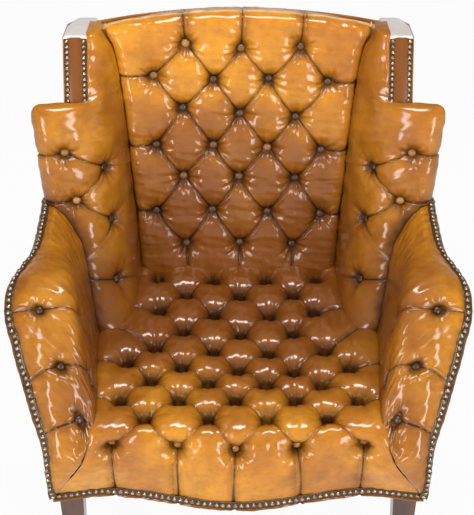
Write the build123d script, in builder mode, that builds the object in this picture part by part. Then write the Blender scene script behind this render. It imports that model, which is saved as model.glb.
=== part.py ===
from build123d import *
from math import cos, hypot, radians, sin, tan
import os

os.makedirs("parts", exist_ok=True)

# Deep-buttoned leather wing chair. Origin on the floor under the middle of the chair,
# front towards -Y, up +Z. Left is the viewer's left, -X. Sizes in millimetres.

# Seat frame
LEG_HEIGHT = 300.0
RAIL_HEIGHT = 75.0
RAIL_THICK = 28.0
FRONT_HALF = 346.0
REAR_HALF = 302.0
FRONT_CORNER_Y = -329.0
FRONT_BOW = 22.0
FRONT_HOLLOW = 12.0
HOLLOW_HALF = 245.0
FRONT_STUFFING = 16.0
STUMP = 45.0
STUMP_INSET = 14.0
FOOT = 30.0
POST_WIDTH = 38.0
POST_DEPTH = 34.0
REAR_RAKE = 72.0
REAR_FOOT_DEPTH = 32.0
BLOCK_LEG = 62.0
BLOCK_HEIGHT = 52.0
DOWEL_DIA = 10.0
DOWEL_LENGTH = 60.0
DOWEL_GAP = 34.0
SCREW_DIA = 5.0
SCREW_HEAD_DIA = 9.6
SCREW_LENGTH = 58.0

# Back, measured along and square to its reclined button plane
BACK_Y = 164.5
BACK_Z = 417.0
RECLINE = 13.2
BACK_LENGTH = 552.0
BACK_CORNER_LENGTH = 520.0
BACK_LOW_HALF = 200.0
BACK_MID_HALF = 229.0
BACK_TOP_HALF = 258.0
BACK_MID_LENGTH = 414.0
BACK_CROWN = 24.0
BACK_STUFFING = 28.0
BACK_TUCK = 22.0
CREST_HEIGHT = 70.0
CREST_DROP = 14.0
LOW_RAIL_LENGTH = 28.0
LOW_RAIL_HEIGHT = 45.0

# Wings
BOARD_THICK = 28.0
BOARD_REACH = 54.0
BOARD_OUT = 320.0
BOARD_TOP = 514.0
TOP_CAP = 8.0
BAND_LOW = 392.0
BAND_LOW_REACH = 83.0
BAND_TOP_REACH = 44.0
EAR_TOP = 398.0
EAR_TIP_TOP = 381.0
EAR_TIP_LOW = 368.0
EAR_REACH = 111.0
WING_SEAT_TIP = 286.0
WING_SEAT_REACH = 178.0
WING_LOW = -36.0
WING_PUFF = 20.0
WING_PLEAT = 9.0
WING_ROLL = 12.0
WING_SEAM = 12.0
WING_OUTSIDE = 40.0
WING_PLEATS = (76.0, 204.0, 290.0)
WING_TILT = 20.0
WING_BUTTON_LIFT = 10.0
WING_BUTTONS = ((0.3,), (0.2, 0.6), (0.2, 0.6))
EAR_FOOT = 199.0

# Arms
ARM_HEIGHT = 640.0
ARM_INNER = 267.0
ARM_CROWN = 26.0
ARM_PLEAT = 9.0
ARM_OUTER_BUTTONS = (0.55, 0.45, 0.4)
ARM_INNER_BUTTONS = (0.3, 0.3, 0.25)
ARM_REAR_Y = 128.0
FLARE_HALF = 413.0
FLARE_Y = -155.0
FLARE_DROP = 10.0
FLARE_POWER = 1.7
RAKE_START = 0.1
KINK_HALF = 377.0
KINK_Y = -13.0
NAIL_INSET = 8.0
FACING_SHARE = 0.4
FACING_TIP = 8.0
ARM_RAIL_THICK = 24.0
ARM_RAIL_WIDTH = 40.0
ARM_POST_DEPTH = 40.0
ARM_POST_WIDTH = 30.0
ARM_RAIL_DROP = 34.0
ARM_STUFFING_Z = 452.0
ARM_STUFFING_HEIGHT = 40.0
COVER_EASE = 8.0

# Seat upholstery
SEAT_Z = 440.0
SEAT_SLOPE = 3.0
SEAT_ROW_Y = -272.0
SEAT_CROWN = 26.0
SEAT_HALF = 267.0
SEAT_WAIST_HALF = 204.0
SEAT_WAIST_Y = 22.0
SEAT_SHOULDER_Y = -40.0
SEAT_ROLL = 44.0
SEAT_BASE_Z = 402.0
FRONT_TOP_BOW = 0.2

# Deep buttoning
SEAT_PITCH = 107.0
SEAT_ROW = 48.3
SEAT_ROWS = (5, 4, 5, 4, 5, 4, 3, 4, 3)
BACK_PITCH = 107.6
BACK_ROW = 70.2
BACK_FIRST_ROW = 66.0
BACK_ROWS = (3, 4, 3, 4, 3, 4, 3)
CREASE_DEPTH = 17.0
PLEAT_DEPTH = 12.0
DIMPLE_DEPTH = 25.0
DIMPLE_RADIUS = 21.0
BUTTON_RADIUS = 8.5
BUTTON_THICK = 7.0

# Springing and covers
WEB_WIDTH = 50.0
WEB_THICK = 2.5
WEB_PITCH = 92.0
WEB_LENGTHWISE = 5
WEB_ACROSS = 4
SPRING_WIRE = 3.6
SPRING_RADIUS = 38.0
SPRING_WAIST = 24.0
SPRING_TURNS = 4
SPRING_SIDES = 10
SPRING_PITCH = 150.0
SPRING_MIDDLE_Y = -55.0
HESSIAN = 2.0
LEATHER = 2.4
DUST_CLOTH = 1.2
CLEAR = 0.3

# Derived places
RAIL_TOP = LEG_HEIGHT + RAIL_HEIGHT
RECLINE_ANGLE = radians(RECLINE)
SLOPE_ANGLE = radians(SEAT_SLOPE)
ALONG = Vector(0, sin(RECLINE_ANGLE), cos(RECLINE_ANGLE))
OUTWARD = Vector(0, -cos(RECLINE_ANGLE), sin(RECLINE_ANGLE))
back_plane = Plane(origin=(0, BACK_Y, BACK_Z), x_dir=(1, 0, 0), z_dir=OUTWARD)
seat_plane = Plane(
    origin=(0, SEAT_ROW_Y, SEAT_Z), x_dir=(1, 0, 0), z_dir=(0, sin(SLOPE_ANGLE), cos(SLOPE_ANGLE))
)
STUMP_OUT = FRONT_HALF - STUMP_INSET
STUMP_IN = STUMP_OUT - STUMP
STUMP_FRONT_Y = FRONT_CORNER_Y + FRONT_STUFFING
STUMP_REAR_Y = STUMP_FRONT_Y + STUMP
FRAME_REAR = -BACK_STUFFING - POST_DEPTH
BOARD_IN = BOARD_OUT - BOARD_THICK


def back_point(x, along, out):
    """A point given in the reclined plane of the back."""
    return back_plane.from_local_coords((x, along, out))


def back_half(along):
    """Half width of the back pad at a height along the back."""
    if along < BACK_MID_LENGTH:
        share = along / BACK_MID_LENGTH
        return BACK_LOW_HALF + (BACK_MID_HALF - BACK_LOW_HALF) * share
    share = (along - BACK_MID_LENGTH) / (BACK_CORNER_LENGTH - BACK_MID_LENGTH)
    return BACK_MID_HALF + (BACK_TOP_HALF - BACK_MID_HALF) * share


def post_front_y(z):
    """Front face of the back post at a height above the floor."""
    foot = back_point(0, 0, -BACK_STUFFING)
    return foot.Y + (z - foot.Z) * tan(RECLINE_ANGLE)


def save(builder, name):
    builder.part.label = name
    export_step(builder.part, f"parts/{name}.step")


def mirrored(builder):
    """The right-hand twin of a left-hand piece."""
    with BuildPart() as twin:
        mirror(builder.part, about=Plane.YZ)
    return twin


def front_line(setback, half, bow):
    """The serpentine front edge in plan, moved back by a setback."""
    corner = FRONT_CORNER_Y + setback
    hollow = corner + FRONT_HOLLOW * bow
    hollow_half = HOLLOW_HALF * half / FRONT_HALF
    middle = corner - FRONT_BOW * bow
    return Spline((-half, corner), (-hollow_half, hollow), (0, middle), (hollow_half, hollow), (half, corner))


def front_y(x):
    """Depth of the serpentine front edge at a distance from the middle."""
    share = min(1.0, abs(x) / HOLLOW_HALF)
    return FRONT_CORNER_Y - FRONT_BOW + (FRONT_BOW + FRONT_HOLLOW) * share**2 * (3 - 2 * share)


def front_strip(near, far, half, bow=1.0):
    """A strip of plan between two setbacks of the serpentine front."""
    with BuildSketch() as strip:
        with BuildLine():
            outer = front_line(near, half, bow)
            inner = front_line(far, half, bow)
            Line(outer @ 0, inner @ 0)
            Line(outer @ 1, inner @ 1)
        make_face()
    return strip.sketch


# Places shared by the frame pieces
POST_IN = REAR_HALF - POST_WIDTH
RAIL_POST_Y = post_front_y(RAIL_TOP)
POST_REAR_Y = RAIL_POST_Y + POST_DEPTH
POST_TOP = back_point(0, BOARD_TOP, -BACK_STUFFING)
POST_TOP_REAR = back_point(0, BOARD_TOP, FRAME_REAR)
FRONT_RAIL_REAR_Y = FRONT_CORNER_Y + FRONT_HOLLOW + FRONT_STUFFING + RAIL_THICK
SIDE_IN_FRONT = STUMP_OUT - RAIL_THICK
SIDE_IN_REAR = REAR_HALF - RAIL_THICK
DOWEL_HEIGHTS = (LEG_HEIGHT + (RAIL_HEIGHT - DOWEL_GAP) / 2, LEG_HEIGHT + (RAIL_HEIGHT + DOWEL_GAP) / 2)

# Dowels between the leg stumps and the rails
with BuildPart() as rail_dowels:
    for side in (-1, 1):
        for height in DOWEL_HEIGHTS:
            with BuildSketch(Plane.YZ.offset(side * STUMP_IN - DOWEL_LENGTH / 2)):
                with Locations((STUMP_FRONT_Y + STUMP / 2, height)):
                    Circle(DOWEL_DIA / 2)
            extrude(amount=DOWEL_LENGTH)
            with BuildSketch(Plane.XZ.offset(-STUMP_REAR_Y - DOWEL_LENGTH / 4)):
                with Locations((side * (STUMP_OUT - RAIL_THICK / 2), height)):
                    Circle(DOWEL_DIA / 2)
            extrude(amount=DOWEL_LENGTH / 2)
save(rail_dowels, "rail_dowels")

# Screws of the corner blocks, each on the middle of its block and pointing into the corner
screw_planes = []
for side in (-1, 1):
    screw_corners = ((STUMP_IN, STUMP_REAR_Y, 1), (SIDE_IN_REAR, RAIL_POST_Y, -1))
    for corner_x, corner_y, inward in screw_corners:
        block_y = corner_y + inward * BLOCK_LEG / 2
        centre = (side * (corner_x - BLOCK_LEG / 2), block_y, LEG_HEIGHT + RAIL_HEIGHT / 2)
        screw_planes.append(Plane(origin=centre, x_dir=(0, 0, 1), z_dir=(-side, inward, 0)))
with BuildPart() as block_screws:
    for plane in screw_planes:
        with BuildSketch(plane):
            Circle(SCREW_HEAD_DIA / 2)
        with BuildSketch(plane.offset(-SCREW_HEAD_DIA / 2)):
            Circle(SCREW_DIA / 2)
        loft()
        with BuildSketch(plane):
            Circle(SCREW_DIA / 2)
        extrude(amount=-SCREW_LENGTH)
save(block_screws, "block_screws")

# Serpentine front rail between the leg stumps
with BuildPart() as front_rail:
    with BuildSketch(Plane.XY.offset(LEG_HEIGHT)):
        add(front_strip(FRONT_STUFFING, FRONT_STUFFING + RAIL_THICK, FRONT_HALF))
    extrude(amount=RAIL_HEIGHT)
    split(bisect_by=Plane.YZ.offset(STUMP_IN), keep=Keep.BOTTOM)
    split(bisect_by=Plane.YZ.offset(-STUMP_IN), keep=Keep.TOP)
    add(rail_dowels.part, mode=Mode.SUBTRACT)
save(front_rail, "front_seat_rail")

# Front leg: square tapered leg under the stump that the rails butt against
with BuildPart() as front_leg_left:
    stump_centre = (-(STUMP_OUT + STUMP_IN) / 2, (STUMP_FRONT_Y + STUMP_REAR_Y) / 2)
    with BuildSketch(Plane.XY.offset(LEG_HEIGHT)):
        with Locations(stump_centre):
            Rectangle(STUMP, STUMP)
    extrude(amount=RAIL_HEIGHT)
    with BuildSketch(Plane.XY):
        with Locations((-STUMP_OUT + FOOT / 2, STUMP_FRONT_Y + FOOT / 2)):
            Rectangle(FOOT, FOOT)
    with BuildSketch(Plane.XY.offset(LEG_HEIGHT)):
        with Locations(stump_centre):
            Rectangle(STUMP, STUMP)
    loft()
    add([rail_dowels.part, block_screws.part], mode=Mode.SUBTRACT)
save(front_leg_left, "front_leg_left")
front_leg_right = mirrored(front_leg_left)
save(front_leg_right, "front_leg_right")

# Back post with the raked rear leg below it
with BuildPart() as back_post_left:
    with BuildSketch(Plane.YZ.offset(-REAR_HALF)):
        Polygon(
            (RAIL_POST_Y + REAR_RAKE, 0),
            (RAIL_POST_Y, LEG_HEIGHT),
            (RAIL_POST_Y, RAIL_TOP),
            (POST_TOP.Y, POST_TOP.Z),
            (POST_TOP_REAR.Y, POST_TOP_REAR.Z),
            (POST_REAR_Y, RAIL_TOP),
            (POST_REAR_Y, LEG_HEIGHT),
            (RAIL_POST_Y + REAR_RAKE + REAR_FOOT_DEPTH, 0),
            align=None,
        )
    extrude(amount=POST_WIDTH)
    add(block_screws.part, mode=Mode.SUBTRACT)
save(back_post_left, "back_post_left")
back_post_right = mirrored(back_post_left)
save(back_post_right, "back_post_right")

# Side rail from the stump to the back post, toed in to the rear
with BuildPart() as side_rail_left:
    with BuildSketch(Plane.XY.offset(LEG_HEIGHT)):
        Polygon(
            (-STUMP_OUT, STUMP_REAR_Y),
            (-SIDE_IN_FRONT, STUMP_REAR_Y),
            (-SIDE_IN_REAR, RAIL_POST_Y),
            (-REAR_HALF, RAIL_POST_Y),
            align=None,
        )
    extrude(amount=RAIL_HEIGHT)
    add([rail_dowels.part, block_screws.part], mode=Mode.SUBTRACT)
save(side_rail_left, "side_seat_rail_left")
side_rail_right = mirrored(side_rail_left)
save(side_rail_right, "side_seat_rail_right")

# Rear rail between the posts
with BuildPart() as rear_rail:
    with BuildSketch(Plane.XY.offset(LEG_HEIGHT)):
        with Locations((0, RAIL_POST_Y + RAIL_THICK / 2)):
            Rectangle(2 * POST_IN, RAIL_THICK)
    extrude(amount=RAIL_HEIGHT)
    add(block_screws.part, mode=Mode.SUBTRACT)
save(rear_rail, "rear_seat_rail")

# Corner blocks, fitted round the stumps and between the rails
with BuildPart() as corner_blocks:
    with BuildSketch(Plane.XY.offset(LEG_HEIGHT + (RAIL_HEIGHT - BLOCK_HEIGHT) / 2)):
        for side in (-1, 1):
            Polygon(
                (side * SIDE_IN_FRONT, FRONT_RAIL_REAR_Y),
                (side * SIDE_IN_FRONT, STUMP_REAR_Y + BLOCK_LEG),
                (side * (STUMP_IN - BLOCK_LEG), FRONT_RAIL_REAR_Y),
                align=None,
            )
            Polygon(
                (side * (SIDE_IN_REAR + RAIL_THICK / 2), RAIL_POST_Y),
                (side * (SIDE_IN_REAR + RAIL_THICK / 2), RAIL_POST_Y - BLOCK_LEG - RAIL_THICK / 2),
                (side * (SIDE_IN_REAR - BLOCK_LEG), RAIL_POST_Y),
                align=None,
            )
    extrude(amount=BLOCK_HEIGHT)
    add([front_leg_left.part, front_leg_right.part, front_rail.part], mode=Mode.SUBTRACT)
    add([side_rail_left.part, side_rail_right.part, block_screws.part], mode=Mode.SUBTRACT)
save(corner_blocks, "corner_blocks")

# Crest rail, arched along its top, and the stuffing rail low in the back
frame_plane = back_plane.offset(FRAME_REAR)
CREST_CORNER = BACK_CORNER_LENGTH - CREST_DROP
with BuildPart() as crest_rail:
    with BuildSketch(frame_plane):
        with BuildLine():
            crest = BACK_LENGTH - CREST_DROP
            arch = ThreePointArc((-POST_IN, CREST_CORNER), (0, crest), (POST_IN, CREST_CORNER))
            low = CREST_CORNER - CREST_HEIGHT
            Polyline(arch @ 1, (POST_IN, low), (-POST_IN, low), arch @ 0)
        make_face()
    extrude(amount=POST_DEPTH)
save(crest_rail, "crest_rail")
with BuildPart() as low_back_rail:
    with BuildSketch(frame_plane):
        with Locations((0, LOW_RAIL_LENGTH + LOW_RAIL_HEIGHT / 2)):
            Rectangle(2 * POST_IN, LOW_RAIL_HEIGHT)
    extrude(amount=POST_DEPTH)
save(low_back_rail, "lower_back_rail")


# Arms: the nailed edge climbs from the front corner in an S-curve, flares, and runs back to the wing
NAIL_LOW_Z = LEG_HEIGHT + NAIL_INSET
NAIL_RISE = ARM_HEIGHT - NAIL_LOW_Z - FLARE_DROP
ARM_RAIL_TOP = ARM_HEIGHT - ARM_RAIL_DROP
ARM_RAIL_LOW = ARM_RAIL_TOP - ARM_RAIL_THICK


def nail_edge(share):
    """The raked front of the nailed edge, from the seat corner (0) to the flare (1)."""
    x = FRONT_HALF + (FLARE_HALF - FRONT_HALF) * share**FLARE_POWER
    y = FRONT_CORNER_Y + (FLARE_Y - FRONT_CORNER_Y) * (RAKE_START * share + (1 - RAKE_START) * share**2)
    return x, y, NAIL_LOW_Z + NAIL_RISE * share


def arm_front(share):
    """Station on the raked front: nailed edge, and the foot of the inner face."""
    fade = max(0.0, 1.0 - share / FACING_SHARE)
    inner_x = ARM_INNER + (FRONT_HALF - ARM_INNER - FACING_TIP) * fade
    inner_z = RAIL_TOP - (RAIL_TOP - LEG_HEIGHT - FACING_TIP / 2) * fade
    return (*nail_edge(share), inner_x, inner_z)


def arm_top(nail_x, y):
    """Station on the level top of the arm."""
    return nail_x, y, ARM_HEIGHT, ARM_INNER, RAIL_TOP


def outer_foot(y):
    """Half width over the outside arm at the foot of the rails, at a depth."""
    share = (y - FRONT_CORNER_Y) / (RAIL_POST_Y - FRONT_CORNER_Y)
    return FRONT_HALF + (REAR_HALF + COVER_EASE - FRONT_HALF) * share


def arm_curves(station, drawn):
    """Crown and inner face of the left arm in section, drawn in where a pleat is."""
    nail_x, y, nail_z, inner_x, inner_z = station
    width = nail_x - inner_x
    height = nail_z - inner_z
    crown = ARM_CROWN * min(1.0, 2 * width / ARM_INNER) - drawn
    crest = (-nail_x + width / 2, nail_z + crown)
    shoulder = (-inner_x - 0.15 * width - drawn, nail_z - 0.18 * height - drawn)
    belly = (-inner_x - 0.02 * width - drawn / 2, (shoulder[1] + inner_z) / 2)
    over = Edge.make_three_point_arc((-nail_x, nail_z), crest, shoulder)
    inside = Edge.make_three_point_arc(shoulder, belly, (-inner_x, inner_z))
    return over, inside


def arm_section(station, drawn):
    """Left arm pad in section: crown over the arm, inner face, rail, outer face."""
    y = station[1]
    over, inside = arm_curves(station, drawn)
    with BuildSketch(Plane.XZ.offset(-y)) as section:
        with BuildLine():
            add([over, inside])
            Polyline(inside @ 1, (-outer_foot(y), station[4]), over @ 0)
        make_face()
    return section.sketch


def post_centre(z):
    """Centre of the raked arm post at a height, set inside the nailed edge."""
    x, y, _ = nail_edge((z - NAIL_LOW_Z) / NAIL_RISE)
    return -x + ARM_POST_WIDTH / 2 + COVER_EASE, y + ARM_POST_DEPTH / 2 + FRONT_STUFFING


with BuildPart() as arm_post_left:
    for post_z in (RAIL_TOP, (RAIL_TOP + ARM_RAIL_LOW) / 2, ARM_RAIL_LOW):
        with BuildSketch(Plane.XY.offset(post_z)):
            with Locations(post_centre(post_z)):
                Rectangle(ARM_POST_WIDTH, ARM_POST_DEPTH)
    loft()
save(arm_post_left, "arm_post_left")
save(mirrored(arm_post_left), "arm_post_right")

RAIL_FLARE_X, RAIL_FLARE_Y = post_centre(ARM_RAIL_LOW)
RAIL_KINK_X = -KINK_HALF + 2 * COVER_EASE
RAIL_END_Y = post_front_y(ARM_RAIL_LOW)
with BuildPart() as arm_rail_left:
    with BuildSketch(Plane.XY.offset(ARM_RAIL_LOW)):
        Polygon(
            (RAIL_FLARE_X - ARM_RAIL_WIDTH / 2, RAIL_FLARE_Y - ARM_POST_DEPTH / 2),
            (RAIL_FLARE_X + ARM_RAIL_WIDTH / 2, RAIL_FLARE_Y - ARM_POST_DEPTH / 2),
            (RAIL_KINK_X + ARM_RAIL_WIDTH, KINK_Y),
            (RAIL_KINK_X + ARM_RAIL_WIDTH, ARM_REAR_Y - ARM_RAIL_WIDTH),
            (-POST_IN, RAIL_END_Y),
            (-REAR_HALF, RAIL_END_Y),
            (RAIL_KINK_X, ARM_REAR_Y - ARM_RAIL_WIDTH),
            (RAIL_KINK_X, KINK_Y),
            align=None,
        )
    extrude(amount=ARM_RAIL_THICK)
    add(back_post_left.part, mode=Mode.SUBTRACT)
save(arm_rail_left, "arm_rail_left")
save(mirrored(arm_rail_left), "arm_rail_right")

STUFFING_X, STUFFING_Y = post_centre(ARM_STUFFING_Z)
with BuildPart() as arm_stuffing_left:
    with BuildSketch(Plane.XY.offset(ARM_STUFFING_Z)):
        Polygon(
            (STUFFING_X - BOARD_THICK / 2, STUFFING_Y),
            (STUFFING_X + BOARD_THICK / 2, STUFFING_Y),
            (-REAR_HALF + BOARD_THICK, post_front_y(ARM_STUFFING_Z)),
            (-REAR_HALF, post_front_y(ARM_STUFFING_Z)),
            align=None,
        )
    extrude(amount=ARM_STUFFING_HEIGHT)
    add([arm_post_left.part, back_post_left.part], mode=Mode.SUBTRACT)
save(arm_stuffing_left, "arm_stuffing_rail_left")
save(mirrored(arm_stuffing_left), "arm_stuffing_rail_right")

# Wing board on the arm rail and the front of the back post, with its raked upper edge
board_plane = Plane(origin=(-BOARD_OUT + BOARD_THICK, BACK_Y, BACK_Z), x_dir=OUTWARD, z_dir=(-1, 0, 0))
BOARD_FOOT = (ARM_RAIL_LOW - BACK_Z) / cos(RECLINE_ANGLE) - EAR_REACH * tan(RECLINE_ANGLE)
with BuildPart() as wing_board_left:
    with BuildSketch(board_plane):
        Polygon(
            (-BACK_STUFFING, BOARD_FOOT),
            (BOARD_REACH, BOARD_FOOT),
            (BOARD_REACH, WING_PLEATS[-1] + DIMPLE_RADIUS),
            (BAND_LOW_REACH, BAND_LOW),
            (BAND_TOP_REACH, BOARD_TOP),
            (-BACK_STUFFING, BOARD_TOP),
            align=None,
        )
    extrude(amount=BOARD_THICK)
    add(arm_rail_left.part, mode=Mode.SUBTRACT)
    split(bisect_by=Plane.XY.offset(ARM_RAIL_TOP), keep=Keep.TOP)
save(wing_board_left, "wing_board_left")
save(mirrored(wing_board_left), "wing_board_right")


# Deep buttoning
def dimple(place):
    """The hollow that a button is pulled into; the plane lies on the pad, facing out."""
    with BuildPart() as hollow:
        with BuildSketch(place.offset(-DIMPLE_DEPTH)):
            Circle(BUTTON_RADIUS + CLEAR)
        with BuildSketch(place):
            Circle(DIMPLE_RADIUS)
        loft()
        with BuildSketch(place):
            Circle(DIMPLE_RADIUS)
        extrude(amount=DIMPLE_DEPTH)
    return hollow.part


with BuildPart() as button:
    with BuildSketch():
        Circle(BUTTON_RADIUS)
    extrude(amount=BUTTON_THICK)
    fillet(button.faces().sort_by(Axis.Z)[-1].edges(), BUTTON_THICK * 0.7)


def button_group(places):
    """Buttons seated at the bottom of their dimples."""
    with BuildPart() as group:
        with Locations(*[place.offset(-DIMPLE_DEPTH) for place in places]):
            add(button.part)
    return group


def pleat(first, last, outward, depth, reach):
    """A fold between two points of a pad's face, with rounded lips on both sides."""
    run = last - first
    with BuildPart() as fold:
        with BuildSketch(Plane(origin=first, x_dir=outward.cross(run), z_dir=run)):
            with BuildLine():
                lip = depth / 24
                right = ThreePointArc((0, -depth), (0.45 * reach, -0.28 * depth), (reach, lip))
                left = ThreePointArc((0, -depth), (-0.45 * reach, -0.28 * depth), (-reach, lip))
                Polyline(right @ 1, (reach, depth), (-reach, depth), left @ 1)
            make_face()
        extrude(amount=run.length)
    return fold.part


def button_columns(count):
    """Half-pitch column numbers of a row, centred."""
    return range(1 - count, count, 2)


def diamond_runs(rows):
    """First and last button of every diagonal of the diamond pattern, as (row, column)."""
    runs = {}
    for row, count in enumerate(rows):
        for column in button_columns(count):
            for lean in (-1, 1):
                runs.setdefault((lean, column - lean * row), []).append((row, column))
    return [(run[0], run[-1]) for run in runs.values() if len(run) > 1]


def lip_reach(pitch, row):
    """Half the gap between neighbouring diagonals, a little short so that the lips don't meet."""
    return 0.96 * pitch * row / 2 / hypot(pitch / 2, row)


def tufted(plane, rows, pitch, row_step, first_row, level):
    """Buttons and folds of a diamond-tufted face, on a plane with rows along its Y."""

    def spot(button_place):
        row, column = button_place
        return plane.from_local_coords((column * pitch / 2, first_row + row * row_step, level))

    folds = [
        pleat(spot(first), spot(last), plane.z_dir, CREASE_DEPTH, lip_reach(pitch, row_step))
        for first, last in diamond_runs(rows)
    ]
    places = [
        Plane(origin=spot((row, column)), x_dir=plane.x_dir, z_dir=plane.z_dir)
        for row, count in enumerate(rows)
        for column in button_columns(count)
    ]
    return spot, folds, places


# Arm pad: four pillows over the arm, divided by pleats that run from the nailed edge to the buttons
ARM_PLEATS = (0.42, 0.68, 0.96)
arm_pillows = (
    (arm_front(0.03), arm_front(0.2), arm_front(ARM_PLEATS[0])),
    (arm_front(ARM_PLEATS[0]), arm_front(0.55), arm_front(ARM_PLEATS[1])),
    (arm_front(ARM_PLEATS[1]), arm_front(0.82), arm_front(ARM_PLEATS[2])),
    (
        arm_front(ARM_PLEATS[2]),
        arm_top((3 * FLARE_HALF + KINK_HALF) / 4, (2 * FLARE_Y + KINK_Y) / 3),
        arm_top(KINK_HALF, KINK_Y),
        arm_top(KINK_HALF, ARM_REAR_Y),
    ),
)


def curve_place(plane, curve, share, side):
    """A plane on a section curve of the left side, facing out of the pad."""
    spot = curve.position_at(share)
    along = curve.tangent_at(share)
    facing = Vector(-along.Y, along.X) * side
    origin = plane.from_local_coords(spot)
    tip = plane.from_local_coords(spot + facing)
    return Plane(origin=origin, z_dir=tip - origin)


arm_button_places = []
for share, outer_share, inner_share in zip(ARM_PLEATS, ARM_OUTER_BUTTONS, ARM_INNER_BUTTONS):
    station = arm_front(share)
    over, inside = arm_curves(station, 0.0)
    section_plane = Plane.XZ.offset(-station[1])
    arm_button_places.append(curve_place(section_plane, over, outer_share, 1))
    if share > ARM_PLEATS[0]:
        arm_button_places.append(curve_place(section_plane, inside, inner_share, 1))

# Wing pad: slanted pillows between the back seam and the flared ear
def wing_tip(along):
    """Reach of the ear, sideways and out of the back, at a height along the back."""
    share = min(1.0, max(0.0, along / EAR_FOOT))
    if share < 1.0:
        half = WING_SEAT_TIP + (EAR_TIP_LOW - WING_SEAT_TIP) * share
        return half, WING_SEAT_REACH + (EAR_REACH - WING_SEAT_REACH) * share
    return EAR_TIP_LOW + (EAR_TIP_TOP - EAR_TIP_LOW) * (along - EAR_FOOT) / (EAR_TOP - EAR_FOOT), EAR_REACH


def wing_plane(along, tilt):
    """Section plane across the left wing, turned so that its outer end stands higher."""
    lean = radians(tilt)
    across = Vector(cos(lean), 0, 0) - ALONG * sin(lean)
    down = Vector(-sin(lean), 0, 0) - ALONG * cos(lean)
    return Plane(origin=back_point(-BOARD_IN, along, 0), x_dir=across, z_dir=down)


def wing_face(along, tilt, drawn):
    """Inner face and rolled edge of the left wing in section, drawn in where a pleat is."""
    stretch = 1 / cos(radians(tilt))
    tip_x, tip_out = wing_tip(along)
    seam = Vector((BOARD_IN - back_half(along) - CLEAR) * stretch, WING_SEAM)
    edge = Vector((BOARD_IN - tip_x + WING_ROLL) * stretch, tip_out + WING_ROLL - drawn)
    chord = edge - seam
    facing = Vector(chord.Y, -chord.X).normalized()
    inner = Edge.make_three_point_arc(seam, seam + chord * 0.45 + facing * (WING_PUFF - drawn), edge)
    tip = Vector((BOARD_IN - tip_x) * stretch, tip_out - WING_ROLL / 3)
    roll = Edge.make_three_point_arc(edge, tip + Vector(WING_ROLL / 6, WING_ROLL * 0.9 - drawn / 2), tip)
    return inner, roll


def wing_section(along, tilt, drawn):
    """Left wing pad in section: inner face, rolled edge, hollow outside, and the back of the stuffing."""
    stretch = 1 / cos(radians(tilt))
    inner, roll = wing_face(along, tilt, drawn)
    seam = inner @ 0
    tip = roll @ 1
    outside = Vector((BOARD_IN - BOARD_OUT) * stretch, WING_OUTSIDE)
    with BuildSketch(wing_plane(along, tilt)) as section:
        with BuildLine():
            add([inner, roll])
            ThreePointArc(tip, (tip + outside) / 2 + Vector(WING_ROLL / 2, WING_ROLL / 2), outside)
            Polyline(
                outside,
                ((BOARD_IN - REAR_HALF) * stretch, CLEAR - BACK_STUFFING),
                (seam.X, CLEAR - BACK_STUFFING),
                seam,
            )
        make_face()
    return section.sketch


def wing_tilt(along):
    """Slant of the pleats: level at the seat and the top of the ear, full between the lower pleats."""
    low_share = (along - WING_LOW) / (WING_PLEATS[0] - WING_LOW)
    top_share = (EAR_TOP - along) / (EAR_TOP - WING_PLEATS[-1])
    return WING_TILT * min(1.0, low_share, top_share)


wing_levels = (WING_LOW, *WING_PLEATS, EAR_TOP)
wing_pillows = [(low, (low + high) / 2, high) for low, high in zip(wing_levels, wing_levels[1:])]
wing_button_places = []
for along, shares in zip(WING_PLEATS, WING_BUTTONS):
    inner, _ = wing_face(along, wing_tilt(along), 0.0)
    for share in shares:
        surface = curve_place(wing_plane(along, wing_tilt(along)), inner, share, -1)
        wing_button_places.append(surface.offset(WING_BUTTON_LIFT))


def strip_section(along, reach):
    """Narrow pad beside the back above the ear, on the inside of the wing board."""
    seam_x = BOARD_IN - back_half(along) - CLEAR
    with BuildSketch(wing_plane(along, 0)) as section:
        with BuildLine():
            middle = (seam_x / 2 + WING_ROLL / 2, (WING_SEAM + reach) / 2 + WING_ROLL / 2)
            face = ThreePointArc((seam_x, WING_SEAM), middle, (0, reach))
            Polyline(face @ 1, (0, CLEAR - BACK_STUFFING), (seam_x, CLEAR - BACK_STUFFING), face @ 0)
        make_face()
    return section.sketch


wing_frame = [wing_board_left.part, arm_rail_left.part, arm_stuffing_left.part, back_post_left.part]
with BuildPart() as wing_pad_left:
    for number, pillow in enumerate(wing_pillows):
        sections = []
        for place, along in enumerate(pillow):
            pinched = (place == 0 and number > 0) or place == len(pillow) - 1
            sections.append(wing_section(along, wing_tilt(along), WING_PLEAT if pinched else 0.0))
        loft(sections)
    loft([strip_section(EAR_TOP - 2 * WING_ROLL, BAND_LOW_REACH), strip_section(BOARD_TOP, BAND_TOP_REACH)])
    with BuildSketch(wing_plane(BOARD_TOP, 0)):
        Polygon(
            (BOARD_IN - BOARD_OUT, BAND_TOP_REACH),
            (0, BAND_TOP_REACH),
            (BOARD_IN - back_half(BOARD_TOP) - CLEAR, WING_SEAM),
            (BOARD_IN - back_half(BOARD_TOP) - CLEAR, FRAME_REAR),
            (BOARD_IN - REAR_HALF, FRAME_REAR),
            align=None,
        )
    extrude(amount=-TOP_CAP)
    add(wing_frame, mode=Mode.SUBTRACT)
    add([dimple(place) for place in wing_button_places], mode=Mode.SUBTRACT)
wing_pad_right = mirrored(wing_pad_left)
save(wing_pad_left, "wing_pad_left")
save(wing_pad_right, "wing_pad_right")
wing_buttons_left = button_group(wing_button_places)
save(wing_buttons_left, "wing_buttons_left")
save(mirrored(wing_buttons_left), "wing_buttons_right")

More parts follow.
